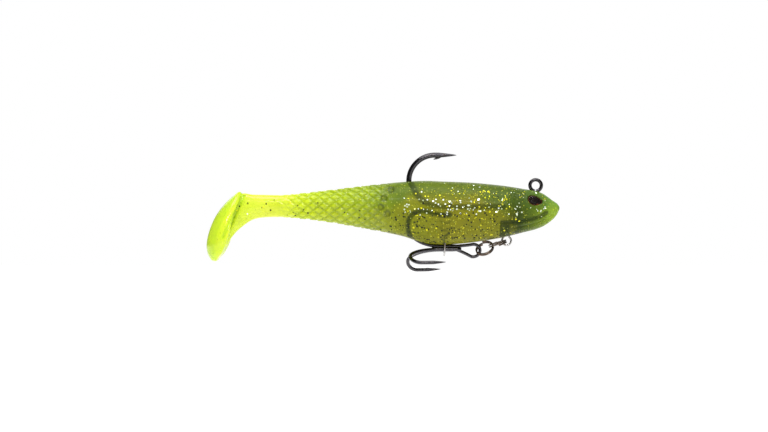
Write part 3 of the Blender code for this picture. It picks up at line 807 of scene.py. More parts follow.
def remember_skin(thing):
    spots = points_of(thing)
    x, y, z = spots.T.astype(float)
    remember_place(thing)
    remember(thing, "painted_shade", painted_shade(x, y, z))
    top, bottom = np.array([interpolate(BODY_STATIONS, min(8.5, max(SKIN_END_X, v)))[:2] for v in x]).T
    half_width = np.array([interpolate(BODY_STATIONS, min(8.5, max(SKIN_END_X, v)))[2] for v in x])
    turn = np.arctan2((z - (top + bottom) / 2) / ((top - bottom) / 2), np.abs(y) / half_width)
    girth = turn * (half_width + (top - bottom) / 2) / 2
    remember(thing, "scale_line", -scale_height(x, girth_lookup(x, turn, girth)) / SCALE_RELIEF)
    # painted shade along the paddle's groove
    groove_shade = line_shade(x, z, PADDLE_GROOVE, 0.85) * (np.abs(y) > 1.0)
    remember(thing, "groove_shade", groove_shade)
    # painted shade along the paddle's rim
    remember(thing, "rim_shade", line_shade(x, z, PADDLE_RIM, 2.4))


def girth_lookup(x, turn, fallback):
    """Girth of the nearest grid point, so that colour and relief share one lattice."""
    ring_x = skin_rest[:, 0, 0]
    order = np.argsort(ring_x)
    ring = order[np.clip(np.searchsorted(ring_x[order], x), 0, len(order) - 1)]
    share = np.clip((turn + math.pi / 2) / math.pi, 0, 1)
    column = np.rint(share * (SKIN_SIDES // 2)).astype(int)
    quarter = SKIN_SIDES // 4
    return np.where(x > SKIN_END_X, skin_girth[ring, (column - quarter) % SKIN_SIDES], fallback)


for thing in (front_skin, rear_skin):
    remember_skin(thing)
print("values stored on", len(front_skin.data.vertices) + len(rear_skin.data.vertices), "points")

# %% [markdown]
# ## Plastisol
#
# Plastisol is a soft, clear vinyl that is coloured in the pot.  Three pours run into each
# other here: dark olive along the back, mustard in the belly, and fluorescent chartreuse
# towards the tail.  A ramp along the fish gives the back pour, another the belly pour, and
# a wandering line divides them.  The skin also has a painted glow of its own colour, which
# grows towards the tail.

# %% Plastisol finish
COLOUR_FROM, COLOUR_TO = -120.0, 10.0
PADDLE, STEM, SCALES, SHOULDER, WAIST = -116, -96, -84, -62, -50  # places along x, mm
MIDDLE, GILL, CHEEK, NOSE = -30, -14, -6, 7
# Both pours are darkest at CHEEK, over the lead head: painted shade of the lead inside.
BACK_POUR = [
    (PADDLE, (185, 210, 45)), (STEM, (190, 202, 55)), (SCALES, (172, 190, 20)), (SHOULDER, (132, 152, 10)),
    (WAIST, (85, 105, 10)), (MIDDLE, (85, 100, 10)), (CHEEK, (65, 85, 20)), (NOSE, (100, 135, 50)),
]
BELLY_POUR = [
    (PADDLE, (188, 208, 40)), (STEM, (196, 204, 55)), (SCALES, (174, 190, 20)), (SHOULDER, (136, 148, 10)),
    (WAIST, (118, 124, 8)), (MIDDLE, (114, 112, 6)), (GILL, (110, 110, 6)), (CHEEK, (52, 65, 15)),
    (NOSE, (138, 165, 40)),
]
SHADOW_GREEN = linear((26, 40, 6))
# painted shade for the grooves between the scales, and a painted highlight for their raised pads
SCALE_SHADE = linear((96, 128, 6))
SCALE_HIGHLIGHT = linear((222, 244, 60))
FLECK_SCALE = 1.15
FLECK_LIGHT, FLECK_DARK = linear((206, 204, 60)), linear((38, 50, 8))


def along_body(finish, x, stops):
    span = COLOUR_TO - COLOUR_FROM
    return finish.ramp((x - COLOUR_FROM) / span, [((at - COLOUR_FROM) / span, c) for at, c in stops])


def plastisol():
    finish = Finish("plastisol", roughness=0.28)
    x, y, z, spot = finish.place()
    swirl = finish.noise(spot, 0.16, 3.0) - 0.5
    fine = finish.noise(spot, 1.1, 2.0) - 0.5
    raised = x.smooth(-52.0, -44.0) * (1 - x.smooth(-24.0, -14.0)) * 4.6
    is_back = (z + 8.2 - raised - swirl * 9.0).smooth(-3.4, 3.4)
    drift = x + swirl * 7.0
    belly, back = (along_body(finish, drift, pour) for pour in (BELLY_POUR, BACK_POUR))
    colour = finish.mix(is_back, belly, back)
    cloud = (fine * 0.6 + swirl * 0.9).smooth(-0.22, 0.3)
    colour = finish.mix(cloud * 0.35, colour, linear((150, 150, 20)), "OVERLAY")
    fleck, kind = finish.flecks(spot, FLECK_SCALE)
    depth = 1 - x.smooth(-50.0, -66.0) * 0.55
    colour = finish.mix(fleck * kind.smooth(0.45, 0.55) * depth * 0.5, colour, FLECK_LIGHT)
    colour = finish.mix(fleck * kind.smooth(0.35, 0.25) * depth * 0.55, colour, FLECK_DARK)
    lines = finish.attribute("scale_line").out("Fac")
    # painted shade in the grooves between the scales, and a painted highlight on the raised pads
    colour = finish.mix(lines.smooth(0.15, 1.2) * (0.40 + swirl * 0.9), colour, SCALE_SHADE)
    colour = finish.mix(lines.smooth(0.0, -0.3) * 0.35, colour, SCALE_HIGHLIGHT)
    # painted shade along the paddle's groove
    groove_shade = finish.attribute("groove_shade").out("Fac")
    colour = finish.mix(groove_shade * 0.5, colour, linear((140, 178, 20)))
    # painted shade along the paddle's rim
    rim_shade = finish.attribute("rim_shade").out("Fac")
    colour = finish.mix(rim_shade * 0.3, colour, linear((150, 196, 24)))
    inside = finish.attribute("painted_shade").out("Fac")
    # painted shade over the pieces inside, along the jaw and round the dimples
    colour = finish.mix(inside * (0.86 + fine * 0.3), colour, SHADOW_GREEN)
    finish.set(Base_Color=colour)
    finish.set(Alpha=0.98 - x.smooth(-66.0, -50.0) * 0.07)
    # painted glow: the skin's own colour, growing towards the tail
    painted_glow = finish.mix(x.smooth(-105.0, -60.0), colour, (0.0, 0.0, 0.0, 1.0))
    finish.set(Emission_Color=painted_glow)
    gloss = x.smooth(-50.0, -58.0)
    finish.set(Roughness=0.40 - gloss * 0.14 + (fine + 0.5) * 0.1, Coat_Weight=0.03 + gloss * 0.42)
    ripple = finish.noise(spot, 2.4, 3.0)
    finish.set(Normal=finish.bump(ripple, 0.12, 0.0003))
    sockets = finish.shader.inputs
    sockets["Emission Strength"].default_value = 0.10
    sockets["Specular IOR Level"].default_value = 0.10
    sockets["Coat Roughness"].default_value = 0.10
    sockets["Subsurface Weight"].default_value = 0.15
    sockets["Subsurface Radius"].default_value = (1.0, 1.0, 0.25)
    sockets["Subsurface Scale"].default_value = 0.003
    return finish.material


def dress(thing, material):
    thing.data.materials.clear()
    thing.data.materials.append(material)


plastisol_material = plastisol()
dress(front_skin, plastisol_material)
dress(rear_skin, plastisol_material)
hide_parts("body_front", "body_rear")
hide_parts("tail")


def bend_front(thing):
    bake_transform(thing)


def bend_rear(thing):
    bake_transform(thing)


bend_front(front_skin)
bend_rear(rear_skin)
print("plastisol on", front_skin.name, "and", rear_skin.name)

# %% [markdown]
# ## Glitter
#
# Pourers stir hexagonal foil flakes into the plastic.  Each is a real thin six-sided
# plate here, at a random tilt, so some catch the light and some don't.  Silver ones crowd
# in the lateral band and on the cheek, gold ones fill the flank, and black pepper lies in
# the belly.  A flake also stores how deep it has sunk, and the finish dulls it by that.

# %% Flakes
FLAKE_SEED = 41
FLAKE_THICKNESS = 0.05
LARGEST_CELL = 0.2  # mm2 of one cell of the skin grid
EYE_CLEARANCE = 1.35  # no flake nearer an eye, in eye outlines
FLAKE_PROUD = 0.035  # how far a flake stands off the skin
RIDGE_HALF = 2.0  # no flake this near the ridge of the back and the keel
dice = np.random.default_rng(FLAKE_SEED)


def bump_curve(value, low, high, soft):
    """1 between low and high, fading to 0 over soft outside them."""
    return step(value, low - soft, low) * (1 - step(value, high, high + soft))


def silver_share(x, y, z):
    band = bump_curve(x, -47, 2.6, 1.5) * bump_curve(z, -9.4, -5.4, 1.5)
    cheek = bump_curve(x, -9, 2.6, 1.0) * bump_curve(z, -12, -4.5, 1.0)
    back = 0.18 * bump_curve(x, -50, 2, 3) * step(z, -5, -3)
    return band + 0.45 * cheek + back + 0.010 * (x < -50) * (z < 0) + 0.12 * bump_curve(x, -109, -98, 3)


def gold_share(x, y, z):
    flank = bump_curve(x, -44, -9, 4) * bump_curve(z, -18, -2, 1.5)
    upper = 0.9 * bump_curve(x, -33, -17, 4) * bump_curve(z, -6.5, -2.5, 1.2)
    return 0.55 * flank + upper + 0.25 * bump_curve(x, -8, 5, 2) * step(z, -10, -4) + 0.04 * (x < -52)


def pepper_share(x, y, z):
    belly = bump_curve(x, -52, -14, 3) * bump_curve(z, -20, -10.5, 1.5)
    return belly + 0.10 * (x < -52) * step(-z, 4, 9) + 0.10 * bump_curve(x, 2, 8, 1) + 0.03


def dim_share(x, y, z):
    return bump_curve(x, -55, 6, 4) + 0.05 * (x < -55)


def scatter(share, count):
    """Random grid places on the skin, chosen by share, as (point, normal) in mm."""
    spots = []
    while len(spots) < count:
        i = dice.integers(1, len(skin) - 2)
        k = dice.integers(0, SKIN_SIDES)
        keep = dice.random()
        u, v = dice.random(2)
        x, y, z = skin_rest[i, k]
        m = (k + 1) % SKIN_SIDES
        area = abs(skin_rest[i + 1, k][0] - x) * np.linalg.norm(skin_rest[i, m] - skin_rest[i, k])
        on_ridge = abs(y) < RIDGE_HALF
        if keep * LARGEST_CELL > share(x, y, z) * area or skin_eye[i, k] < EYE_CLEARANCE or on_ridge:
            continue
        near = skin[i, k] * (1 - v) + skin[i, m] * v
        far = skin[i + 1, k] * (1 - v) + skin[i + 1, m] * v
        spots.append((near * (1 - u) + far * u, skin_normals[i, k]))
    return spots


def flake_mesh(name, spots, size, tilt, sink):
    """Six-sided plates at spots; sink is the most that one may be dulled."""
    bm = bmesh.new()
    sunk = []
    for point, normal in spots:
        across = dice.normal(size=3)
        lean = normal + across / np.linalg.norm(across) * dice.random() * tilt
        facing = Vector(lean).to_track_quat("Z", "Y").to_matrix()
        turn = dice.random() * math.pi
        radius = size * (0.6 + 0.7 * dice.random())
        depth = dice.random() * sink
        rings = []
        for h in (-0.5, 0.5):
            ring = []
            for a in range(6):
                t = turn + a * math.pi / 3
                flat = Vector((radius * math.cos(t), radius * math.sin(t), h * FLAKE_THICKNESS + FLAKE_PROUD))
                ring.append(bm.verts.new((Vector(point) + facing @ flat) * MM))
                sunk.append(depth)
            rings.append(ring)
        bm.faces.new(rings[1])
        bm.faces.new(rings[0][::-1])
        for a in range(6):
            b = (a + 1) % 6
            bm.faces.new((rings[0][a], rings[0][b], rings[1][b], rings[1][a]))
    mesh = bpy.data.meshes.new(name)
    bm.to_mesh(mesh)
    bm.free()
    return mesh, sunk


def flake_finish(name, shallow, sunk, roughness, metallic):
    finish = Finish(name, roughness=roughness, metallic=metallic)
    depth = finish.attribute("sunk").out("Fac")
    _, _, _, spot = finish.place()
    glint = finish.noise(spot, 1.7, 1.0)
    tone = finish.ramp(glint, [(0.35, shallow[0]), (0.65, shallow[1])])
    finish.set(Base_Color=finish.mix(depth, tone, linear(sunk)))
    finish.set(Metallic=metallic * (1 - depth))
    finish.shader.inputs["Specular IOR Level"].default_value = 0.2
    # shallow silver flakes glow a little: a painted sparkle
    finish.set(Emission_Color=finish.mix(depth, tone, (0.0, 0.0, 0.0, 1.0)))
    finish.shader.inputs["Emission Strength"].default_value = 0.25 if metallic > 0.8 else 0.0
    return finish.material


FLAKES = [
    ("silver", silver_share, 250, 0.27, 0.6, 0.9, ((226, 240, 222), (250, 255, 244)), (140, 154, 80), 0.28, 0.9),
    ("gold", gold_share, 270, 0.30, 0.6, 0.9, ((206, 198, 14), (240, 234, 40)), (148, 146, 14), 0.3, 0.7),
    ("pepper", pepper_share, 400, 0.29, 0.3, 0.4, ((4, 7, 3), (12, 16, 6)), (46, 56, 10), 0.6, 0.0),
    ("dim", dim_share, 420, 0.20, 0.3, 0.9, ((150, 158, 60), (96, 110, 24)), (110, 122, 26), 0.4, 0.0),
]
for kind, share, count, size, tilt, sink, shallow, deep, roughness, metallic in FLAKES:
    spots = scatter(share, count)
    look = flake_finish(f"{kind}_flake", shallow, deep, roughness, metallic)
    for part, bend, slot, wanted in (
        ("front", bend_front, "olive_plastisol", lambda x: x > SKIN_CUT_X),
        ("rear", bend_rear, "chartreuse_plastisol", lambda x: x <= SKIN_CUT_X),
    ):
        chosen = [s for s in spots if wanted(s[0][0])]
        if not chosen:
            continue
        mesh, sunk = flake_mesh(f"{kind}_flakes_{part}", chosen, size, tilt, sink)
        flakes = new_object(f"{kind}_flakes_{part}", mesh)
        remember_place(flakes)
        remember(flakes, "sunk", sunk)
        dress(flakes, look)
        bend(flakes)
    print(kind, "flakes:", len(spots))

# %% [markdown]
# ## Wire
#
# Hooks are bent from round steel wire, ground to a point, and given a black nickel
# plating: a dark mirror with a brown tinge.  `wire` sweeps a round section along a path,
# with a radius at every point so that the point of a hook can taper.

# %% Wire helper and metal finishes


def arc(centre, radius_x, radius_z, start, end, steps):
    turns = [math.radians(start + (end - start) * i / steps) for i in range(steps + 1)]
    return [(centre[0] + radius_x * math.cos(t), 0.0, centre[1] + radius_z * math.sin(t)) for t in turns]


def spread(start, end, gap):
    count = max(1, round(abs(end - start) / gap))
    return [start + (end - start) * i / count for i in range(count + 1)]


def without_repeats(points, gap=0.05):
    kept = [Vector(points[0])]
    for p in points[1:]:
        if (Vector(p) - kept[-1]).length > gap:
            kept.append(Vector(p))
    return kept


TAPER_CURVE = 0.72  # below 1, so the point is stout


def taper_from_tip(points, full, reach, tip=0.04):
    run, radii = 0.0, [tip]
    for a, b in zip(points, points[1:]):
        run += (b - a).length
        radii.append(tip + (full - tip) * min(1.0, run / reach) ** TAPER_CURVE)
    return radii


def wire(name, points, radii, sides=20, closed=False):
    """A round bar swept along points in mm, with a radius at each."""
    path = [Vector(p) for p in points]
    count = len(path)
    rings, side = [], None
    for i, here in enumerate(path):
        before = path[(i - 1) % count] if closed or i else here
        after = path[(i + 1) % count] if closed or i < count - 1 else here
        along = (after - before).normalized()
        if side is None:
            side = Vector((0, 1, 0)) if abs(along.y) < 0.9 else along.orthogonal().normalized()
        side = (side - along * side.dot(along)).normalized()
        other = along.cross(side)
        turns = [2 * math.pi * k / sides for k in range(sides)]
        rings.append([here + radii[i] * (side * math.cos(t) + other * math.sin(t)) for t in turns])
    return mesh_from_rings(name, rings, closed)


def metal(name, dark, light, tinge, roughness):
    """Plated wire: a clouded dark mirror, with a tinge that comes and goes."""
    finish = Finish(name, roughness=roughness, metallic=1.0)
    _, _, _, spot = finish.place()
    cloud = finish.noise(spot, 0.55, 3.0)
    grain = finish.noise(spot, 6.0, 2.0)
    tone = finish.ramp(cloud, [(0.3, dark), (0.7, light)])
    patch = finish.noise(spot, 0.9, 1.0).smooth(0.52, 0.72)
    finish.set(Base_Color=finish.mix(patch * 0.6, tone, linear(tinge)))
    finish.set(Roughness=roughness + (grain - 0.5) * 0.03)
    finish.set(Normal=finish.bump(cloud, 0.02, 0.00005))
    return finish.material


black_nickel = metal("black_nickel", (58, 57, 60), (74, 72, 74), (66, 60, 55), 0.14)
ring_nickel = metal("ring_nickel", (76, 66, 58), (112, 100, 90), (120, 86, 62), 0.17)
bright_nickel = metal("bright_nickel", (140, 136, 132), (186, 184, 182), (160, 138, 118), 0.2)


def finish_metal(thing, look, slot, body, *nodes):
    remember_place(thing)
    dress(thing, look)
    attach(thing, body)
    if nodes:
        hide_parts(*nodes)


print("metals:", black_nickel.name, ring_nickel.name, bright_nickel.name)

# %% [markdown]
# ## Jig hook
#
# The jig hook's wire turns up at the head into a closed line-tie ring, runs back along the
# middle of the body and comes out of the back in its bend.  A raised barb is cut on the
# inside of the point.

# %% Jig hook
HOOK_WIRE_R = 0.95
HOOK_SHANK_Z, HOOK_BEND_X, HOOK_BEND_R, HOOK_TIP_X = -7.7, -36.35, 9.3, -28.5
HOOK_TAPER, HOOK_ELBOW_R = 6.5, 3.0
TIE_RING_R, TIE_WIRE_R = 2.05, 0.63
HOOK_TOP_Z = HOOK_SHANK_Z + 2 * HOOK_BEND_R

hook_points = [(x, 0.0, HOOK_TOP_Z) for x in spread(HOOK_TIP_X, HOOK_BEND_X, 0.5)]
hook_points += arc((HOOK_BEND_X, HOOK_SHANK_Z + HOOK_BEND_R), HOOK_BEND_R, HOOK_BEND_R, 90, 270, 60)
hook_points += [(x, 0.0, HOOK_SHANK_Z) for x in spread(HOOK_BEND_X, -HOOK_ELBOW_R, 2.0)]
hook_points += arc((-HOOK_ELBOW_R, HOOK_SHANK_Z + HOOK_ELBOW_R), HOOK_ELBOW_R, HOOK_ELBOW_R, -90, 0, 12)
hook_points += [(0.0, 0.0, -TIE_RING_R - 1.2), (0.0, 0.0, -TIE_RING_R - 0.1)]
hook_points = without_repeats(hook_points)
hook_radii = taper_from_tip(hook_points, HOOK_WIRE_R, HOOK_TAPER)
hook_radii[-2:] = [TIE_WIRE_R + 0.06, TIE_WIRE_R]

# place along the barb, and its width and height there, as shares of the whole
BARB_SECTIONS = [(0.0, 0.5, 0.35), (0.35, 1.0, 0.9), (0.7, 0.75, 0.8), (0.93, 0.3, 0.35), (1.0, 0.06, 0.06)]


def barb_mesh(name, root, tip, half_width, rise):
    """A thin wedge that lifts from the wire at root and ends in a point at tip."""
    root, tip = Vector(root), Vector(tip)
    along = (tip - root).normalized()
    side = Vector(rise).cross(along).normalized()
    up = along.cross(side)
    rings = []
    for share, width, height in BARB_SECTIONS:
        here = root.lerp(tip, share)
        turns = [2 * math.pi * k / 10 for k in range(10)]
        across, above = side * half_width * width, up * half_width * height
        ring = [here + across * math.cos(t) + above * math.sin(t) for t in turns]
        rings.append(ring)
    return mesh_from_rings(name, rings)


jig_hook = new_object("jig_hook_wire", wire("jig_hook_wire", hook_points, hook_radii, 24))
tie_points = arc((0.0, 0.0), TIE_RING_R, TIE_RING_R, -84, 262, 64)
tie_ring = new_object("line_tie", wire("line_tie", tie_points, [TIE_WIRE_R] * len(tie_points), 20))
hook_barb = barb_mesh(
    "hook_barb",
    (HOOK_BEND_X + 2.6, 0.0, HOOK_TOP_Z - 0.55),
    (HOOK_BEND_X - 0.5, 0.0, HOOK_TOP_Z - 1.55),
    0.42,
    (0, 0, -1),
)
unite(jig_hook, tie_ring, new_object("hook_barb", hook_barb))
finish_metal(jig_hook, black_nickel, "black_nickel", "front", "jig_hook")
print("jig hook gap, mm:", 2 * HOOK_BEND_R)

# %% [markdown]
# ## Treble
#
# A treble is a double hook, whose wire makes the eye, and a single hook brazed beside it.
# The braze shows as a fillet that fills the grooves between the three wires of the shank.
# It's drawn about the ring wire that it hangs on and then turned into place.

# %% Treble
RING_MID_R, RING_WIRE_R, RING_PITCH = 3.13, 0.28, 0.7
RING_SLOPE, REAR_RING_TILT, RING_LINK_SETBACK = math.radians(20.1), math.radians(52.0), 1.3
FALLING = Vector((-math.cos(RING_SLOPE), 0.0, -math.sin(RING_SLOPE)))
FIRST_LINK = Vector((-10.75, 0.0, -19.9))
FRONT_CENTRE = FIRST_LINK + FALLING * RING_MID_R
REAR_CENTRE = FRONT_CENTRE + FALLING * (2 * RING_MID_R - RING_LINK_SETBACK)
THIRD_LINK = REAR_CENTRE + FALLING * RING_MID_R

TREBLE_WIRE_R, TREBLE_ROLL, TREBLE_YAW, TREBLE_AXIS_Z = 0.65, 8.0, 3.0, 1.1
TREBLE_LEG_OFFSET, TREBLE_NECK_X, TREBLE_TAPER, TREBLE_TIP_IN = 0.82, -5.6, 4.5, 0.5
TREBLE_EYE_X, TREBLE_EYE_Z, TREBLE_EYE_R, TREBLE_EYE_WIRE_R = -1.15, 0.15, 2.45, 0.58
TREBLE_BEND_START_X, TREBLE_BEND_LOWER, TREBLE_BEND_UPPER = -13.1, (11.3, 6.8), (3.8, 5.3)
TREBLE_TOP_TIP_X, TREBLE_LOW_TIP_X = -9.8, -12.0
treble_place = Matrix.Translation(THIRD_LINK) @ Matrix.Rotation(math.radians(TREBLE_YAW), 4, "Z")


def tine_path(angle, tip_x):
    """From the point, round the bend and along the shank, leaning at angle about the shank."""
    middle = TREBLE_LEG_OFFSET + TREBLE_BEND_LOWER[1]
    reach = middle + TREBLE_BEND_UPPER[1]
    upper_x = TREBLE_BEND_START_X - TREBLE_BEND_LOWER[0] + TREBLE_BEND_UPPER[0]
    flat = []
    for x in spread(tip_x, upper_x, 0.4):
        share = (x - upper_x) / (tip_x - upper_x)
        flat.append((x, 0.0, reach - TREBLE_TIP_IN * share * share))
    flat += arc((upper_x, middle), *TREBLE_BEND_UPPER, 90, 180, 24)
    flat += arc((TREBLE_BEND_START_X, middle), *TREBLE_BEND_LOWER, 180, 270, 32)
    flat += [(x, 0.0, TREBLE_LEG_OFFSET) for x in spread(TREBLE_BEND_START_X, TREBLE_NECK_X, 1.5)]
    lean = Matrix.Rotation(math.radians(-angle), 3, "X")
    return [lean @ p + Vector((0.0, 0.0, TREBLE_AXIS_Z)) for p in without_repeats(flat)]


def treble_eye_path(first, last):
    side = (first - last).normalized()
    centre = (first + last) / 2
    centre.x = TREBLE_EYE_X
    centre.z += TREBLE_EYE_Z - TREBLE_AXIS_Z
    neck = Vector((TREBLE_NECK_X - TREBLE_EYE_X, (first - last).length / 2))
    tangent = math.atan2(neck.y, neck.x) - math.acos(TREBLE_EYE_R / neck.length)
    points = []
    for i in range(49):
        turn = tangent - 2 * tangent * i / 48
        points.append(centre + TREBLE_EYE_R * (Vector((math.cos(turn), 0.0, 0.0)) + side * math.sin(turn)))
    return points


def rounded(points, rounds=3):
    """Rounds the corners of a path without moving its ends."""
    for _ in range(rounds):
        middle = [(a + 2 * b + c) / 4 for a, b, c in zip(points, points[1:], points[2:])]
        points = [points[0], *middle, points[-1]]
    return points


def tine_barb(name, path):
    root, beyond = path[9], path[14]
    inward = (Vector((root.x, 0.0, TREBLE_AXIS_Z)) - root).normalized()
    return barb_mesh(name, root + inward * 0.3, beyond + inward * 1.0, 0.34, inward)


def place_treble(thing):
    thing.data.transform(Matrix.Scale(MM, 4) @ treble_place @ Matrix.Scale(1 / MM, 4))
    thing.data.update()


tine_top = tine_path(TREBLE_ROLL, TREBLE_TOP_TIP_X)
tine_left = tine_path(TREBLE_ROLL + 120, TREBLE_LOW_TIP_X)
tine_right = tine_path(TREBLE_ROLL - 120, TREBLE_LOW_TIP_X)
eye_path = treble_eye_path(tine_top[-1], tine_left[-1])
eye_loop = rounded([tine_top[-2], tine_top[-1], *eye_path, tine_left[-1], tine_left[-2]])
double_points = tine_top[:-2] + eye_loop + tine_left[:-2][::-1]
top_radii = taper_from_tip(tine_top, TREBLE_WIRE_R, TREBLE_TAPER)
left_radii = taper_from_tip(tine_left, TREBLE_WIRE_R, TREBLE_TAPER)
double_radii = top_radii[:-2] + [TREBLE_EYE_WIRE_R] * len(eye_loop) + left_radii[:-2][::-1]
double_hook = new_object("treble_double_wire", wire("treble_double_wire", double_points, double_radii, 20))
right_radii = taper_from_tip(tine_right, TREBLE_WIRE_R, TREBLE_TAPER)
single_hook = new_object("treble_single_wire", wire("treble_single_wire", tine_right, right_radii, 20))
tines = (tine_top, tine_left, tine_right)
barbs = [new_object(f"tine_barb_{i}", tine_barb("tine_barb", path)) for i, path in enumerate(tines)]
unite(double_hook, *barbs[:2])
unite(single_hook, barbs[2])

braze_places = spread(TREBLE_NECK_X - 0.6, TREBLE_BEND_START_X - 3.0, 0.6)
braze_path = [Vector((x, 0.0, TREBLE_AXIS_Z)) for x in braze_places]
braze_radii = [0.35, 0.62] + [0.72] * (len(braze_path) - 4) + [0.66, 0.4]
braze = new_object("treble_braze", wire("treble_braze", braze_path, braze_radii, 18))
for thing in (double_hook, single_hook, braze):
    place_treble(thing)
finish_metal(double_hook, black_nickel, "black_nickel", "treble", "treble_double_hook")
finish_metal(single_hook, black_nickel, "black_nickel", "treble", "treble_single_hook")
finish_metal(braze, black_nickel, "black_nickel", "treble")
treble_length = TREBLE_EYE_X + TREBLE_EYE_R - TREBLE_BEND_START_X + TREBLE_BEND_LOWER[0]
print("treble length, mm:", round(treble_length, 1))

# %% [markdown]
# ## Split rings, eyelet and keeper
#
# A split ring is wire coiled twice, so that its two turns lie side by side.
# The eyelet is a bright loop with two legs that were cast into the lead, and the keeper is
# a bright corkscrew whose straight leg pins the treble's shank to the belly.

# %% Small wires


def split_ring_points(centre, mid_direction, other_direction):
    normal = mid_direction.cross(other_direction)
    points = []
    for i in range(129):
        turn = 4 * math.pi * i / 128
        arm = mid_direction * math.sin(turn) - other_direction * math.cos(turn)
        points.append(centre + RING_MID_R * arm + normal * RING_PITCH * (i / 128 * 2 - 1))
    return points


def end_softly(count, radius):
    """Radii of a cut wire whose two ends are tumbled round."""
    radii = [radius] * count
    radii[0] = radii[-1] = radius * 0.6
    return radii


across = Vector((0.0, 1.0, 0.0))
upright = FALLING.cross(across)
leaning = upright * math.cos(REAR_RING_TILT) - across * math.sin(REAR_RING_TILT)
for name, centre, other, body, node in (
    ("front_ring_coil", FRONT_CENTRE, across, "front_ring", "front_split_ring"),
    ("rear_ring_coil", REAR_CENTRE, leaning, "rear_ring", "rear_split_ring"),
):
    points = split_ring_points(centre, FALLING, other)
    ring = new_object(name, wire(name, points, end_softly(len(points), RING_WIRE_R), 14))
    finish_metal(ring, ring_nickel, "black_nickel", body, node)

EYELET_X, EYELET_Z, EYELET_R, EYELET_WIRE_R = -10.5, -19.9, 1.65, 0.34
EYELET_LEG_TOP_Z, EYELET_LEG_SPREAD = -15.4, 0.8
leg_foot = EYELET_Z + math.sqrt(EYELET_R**2 - EYELET_LEG_SPREAD**2)
opening = math.degrees(math.acos(EYELET_LEG_SPREAD / EYELET_R))
eyelet_points = [(EYELET_X + EYELET_LEG_SPREAD, 0.0, EYELET_LEG_TOP_Z)]
eyelet_points += [(EYELET_X + EYELET_LEG_SPREAD, 0.0, leg_foot + 0.6)]
eyelet_points += arc((EYELET_X, EYELET_Z), EYELET_R, EYELET_R, opening, -180 - opening, 56)
eyelet_points += [(EYELET_X - EYELET_LEG_SPREAD, 0.0, leg_foot + 0.6)]
eyelet_points += [(EYELET_X - EYELET_LEG_SPREAD, 0.0, EYELET_LEG_TOP_Z)]
eyelet_points = rounded(without_repeats(eyelet_points), 2)
eyelet_radii = [EYELET_WIRE_R] * len(eyelet_points)
eyelet = new_object("belly_eyelet_wire", wire("belly_eyelet_wire", eyelet_points, eyelet_radii, 16))
finish_metal(eyelet, bright_nickel, "bright_nickel", "front", "belly_eyelet")

KEEPER_X, KEEPER_Y, KEEPER_WIRE_R, KEEPER_COIL_R = -32.7, -2.75, 0.34, 1.75
KEEPER_TOP_Z, KEEPER_PITCH, KEEPER_TURNS = -10.5, 2.5, 2.4
KEEPER_LEG = [
    (1.1, 0.55, -17.35), (0.35, 0.2, -17.95), (0.0, 0.0, -18.4),
    (-0.1, 0.0, -21.5), (-0.2, 0.0, -24.8), (-0.35, 0.0, -25.3),
]
keeper_points = []
for i in range(97):
    turn = 2 * math.pi * KEEPER_TURNS * (i / 96 - 1)
    x = KEEPER_X + KEEPER_COIL_R * math.cos(turn)
    y = KEEPER_Y + KEEPER_COIL_R * math.sin(turn)
    keeper_points.append((x, y, KEEPER_TOP_Z - KEEPER_PITCH * KEEPER_TURNS * i / 96))
keeper_points += [(KEEPER_X + x, KEEPER_Y + y, z) for x, y, z in KEEPER_LEG]
keeper_points = rounded(without_repeats(keeper_points), 1)
keeper_radii = end_softly(len(keeper_points), KEEPER_WIRE_R)
keeper = new_object("keeper_corkscrew", wire("keeper_corkscrew", keeper_points, keeper_radii, 14))
finish_metal(keeper, bright_nickel, "bright_nickel", "front", "keeper_screw")
print("wires done; keeper points:", len(keeper_points))

# %% [markdown]
# ## Lead head
#
# The weight is cast round the hook's shank and painted dark green, so that it looks like
# the inside of a fish.  It stays the frame's own solid and gets a worn, mottled paint.

# %% Lead paint


def lead_paint():
    finish = Finish("painted_lead", roughness=0.5)
    spot = finish.node("ShaderNodeTexCoord").out("Object")
    mottle = finish.noise(spot, 420.0, 3.0)
    chips = finish.noise(spot, 900.0, 2.0).smooth(0.66, 0.72)
    paint = finish.ramp(mottle, [(0.3, (34, 52, 16)), (0.7, (58, 80, 28))])
    finish.set(Base_Color=finish.mix(chips, paint, linear((120, 122, 118))))
    finish.set(Metallic=chips * 0.7, Roughness=0.55 - chips * 0.2)
    finish.set(Normal=finish.bump(mottle, 0.2, 0.0002))
    return finish.material


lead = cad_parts["lead_head"]
for slot in lead.material_slots:
    slot.material = lead_paint()
print("lead painted:", len(lead.material_slots), "slot")

# %% [markdown]
# ## Eyes
#
# A fish's eye is a printed foil under a drop of clear resin.  The foil is dark brown, with
# a thin copper and olive rim and one warm glint, and the resin is domed, so it shows a
# small bright reflection of the lamp.

# %% Eyes
EYE_SEAT, EYE_FOIL, EYE_LENS_EDGE, EYE_DOME = 0.9, 0.3, 0.35, 0.55
EYE_STEPS = 64
FOIL_RINGS = (1.0, 0.97, 0.94, 0.91, 0.88, 0.84, 0.8, 0.6, 0.4, 0.2)  # close together at the rim


def eye_shell(name, side, layers):
    """A closed shell through outlines, each (height over the skin, scale)."""
    here, outward, forward, upward = eye_frame(side)
    turns = 2 * math.pi * np.arange(EYE_STEPS) / EYE_STEPS
    a, b = eye_edge(turns)
    rings = [[here + forward * s * p + upward * s * q + outward * h for p, q in zip(a, b)] for h, s in layers]
    return mesh_from_rings(name, rings)


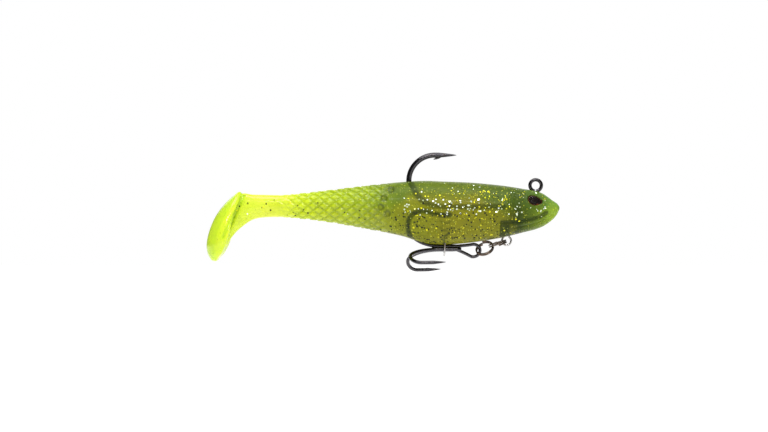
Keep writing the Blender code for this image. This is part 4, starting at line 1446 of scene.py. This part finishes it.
def eye_foil_finish():
    finish = Finish("eye_print", roughness=0.25)
    reach = finish.attribute("reach").out("Fac")
    glint = finish.attribute("glint").out("Fac")
    _, _, _, spot = finish.place()
    speck = finish.noise(spot, 0.8, 2.0)
    stops = [
        (0.0, (20, 11, 8)), (0.80, (26, 13, 9)), (0.88, (62, 26, 12)),
        (0.93, (136, 66, 26)), (0.97, (112, 98, 36)), (1.0, (50, 60, 22)),
    ]
    colour = finish.ramp(reach + (speck - 0.5) * 0.02, stops)
    finish.set(Base_Color=finish.mix(glint * 0.5, colour, linear((214, 104, 26))))
    finish.set(Metallic=reach.smooth(0.86, 0.95) * 0.5, Roughness=0.45 + speck * 0.1)
    finish.shader.inputs["Specular IOR Level"].default_value = 0.15
    return finish.material


def eye_resin_finish():
    finish = Finish("eye_resin", roughness=0.03)
    _, _, _, spot = finish.place()
    haze = finish.noise(spot, 2.0, 2.0)
    finish.set(Base_Color=finish.ramp(haze, [(0.3, (16, 10, 8)), (0.7, (22, 14, 10))]))
    finish.set(Alpha=0.22 + haze * 0.04, Roughness=0.10 + haze * 0.04)
    finish.shader.inputs["Specular IOR Level"].default_value = 0.15
    return finish.material


eye_print, eye_resin = eye_foil_finish(), eye_resin_finish()
foil_top = -EYE_SEAT + EYE_FOIL
for suffix, side in (("left", 1), ("right", -1)):
    name = f"eye_print_{suffix}"
    layers = [(-EYE_SEAT, 0.3), (-EYE_SEAT, 1.0)] + [(foil_top, s) for s in FOIL_RINGS]
    print_foil = new_object(name, eye_shell(name, side, layers))
    remember_place(print_foil)
    here, outward, forward, upward = (np.array(v) for v in eye_frame(side))
    offset = points_of(print_foil) - here
    a, b = offset @ forward, offset @ upward
    remember(print_foil, "reach", eye_reach(a, b))
    remember(print_foil, "glint", np.exp(-(((a - 0.9) / 0.5) ** 2 + ((b + 1.45) / 0.22) ** 2)))
    dress(print_foil, eye_print)
    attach(print_foil, "front")
    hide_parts(f"eye_foil_{suffix}")
    name = f"eye_drop_{suffix}"
    foot, edge = foil_top + 0.15, foil_top + 0.15 + EYE_LENS_EDGE
    dome = [(edge + EYE_DOME * (1 - s * s), s) for s in (0.97, 0.9, 0.8, 0.66, 0.5, 0.33, 0.16)]
    drop = new_object(name, eye_shell(name, side, [(foot, 0.4), (foot, 1.0), (edge, 1.0)] + dome))
    remember_place(drop)
    dress(drop, eye_resin)
    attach(drop, "front")
    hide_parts(f"eye_lens_{suffix}")
print("eyes set")
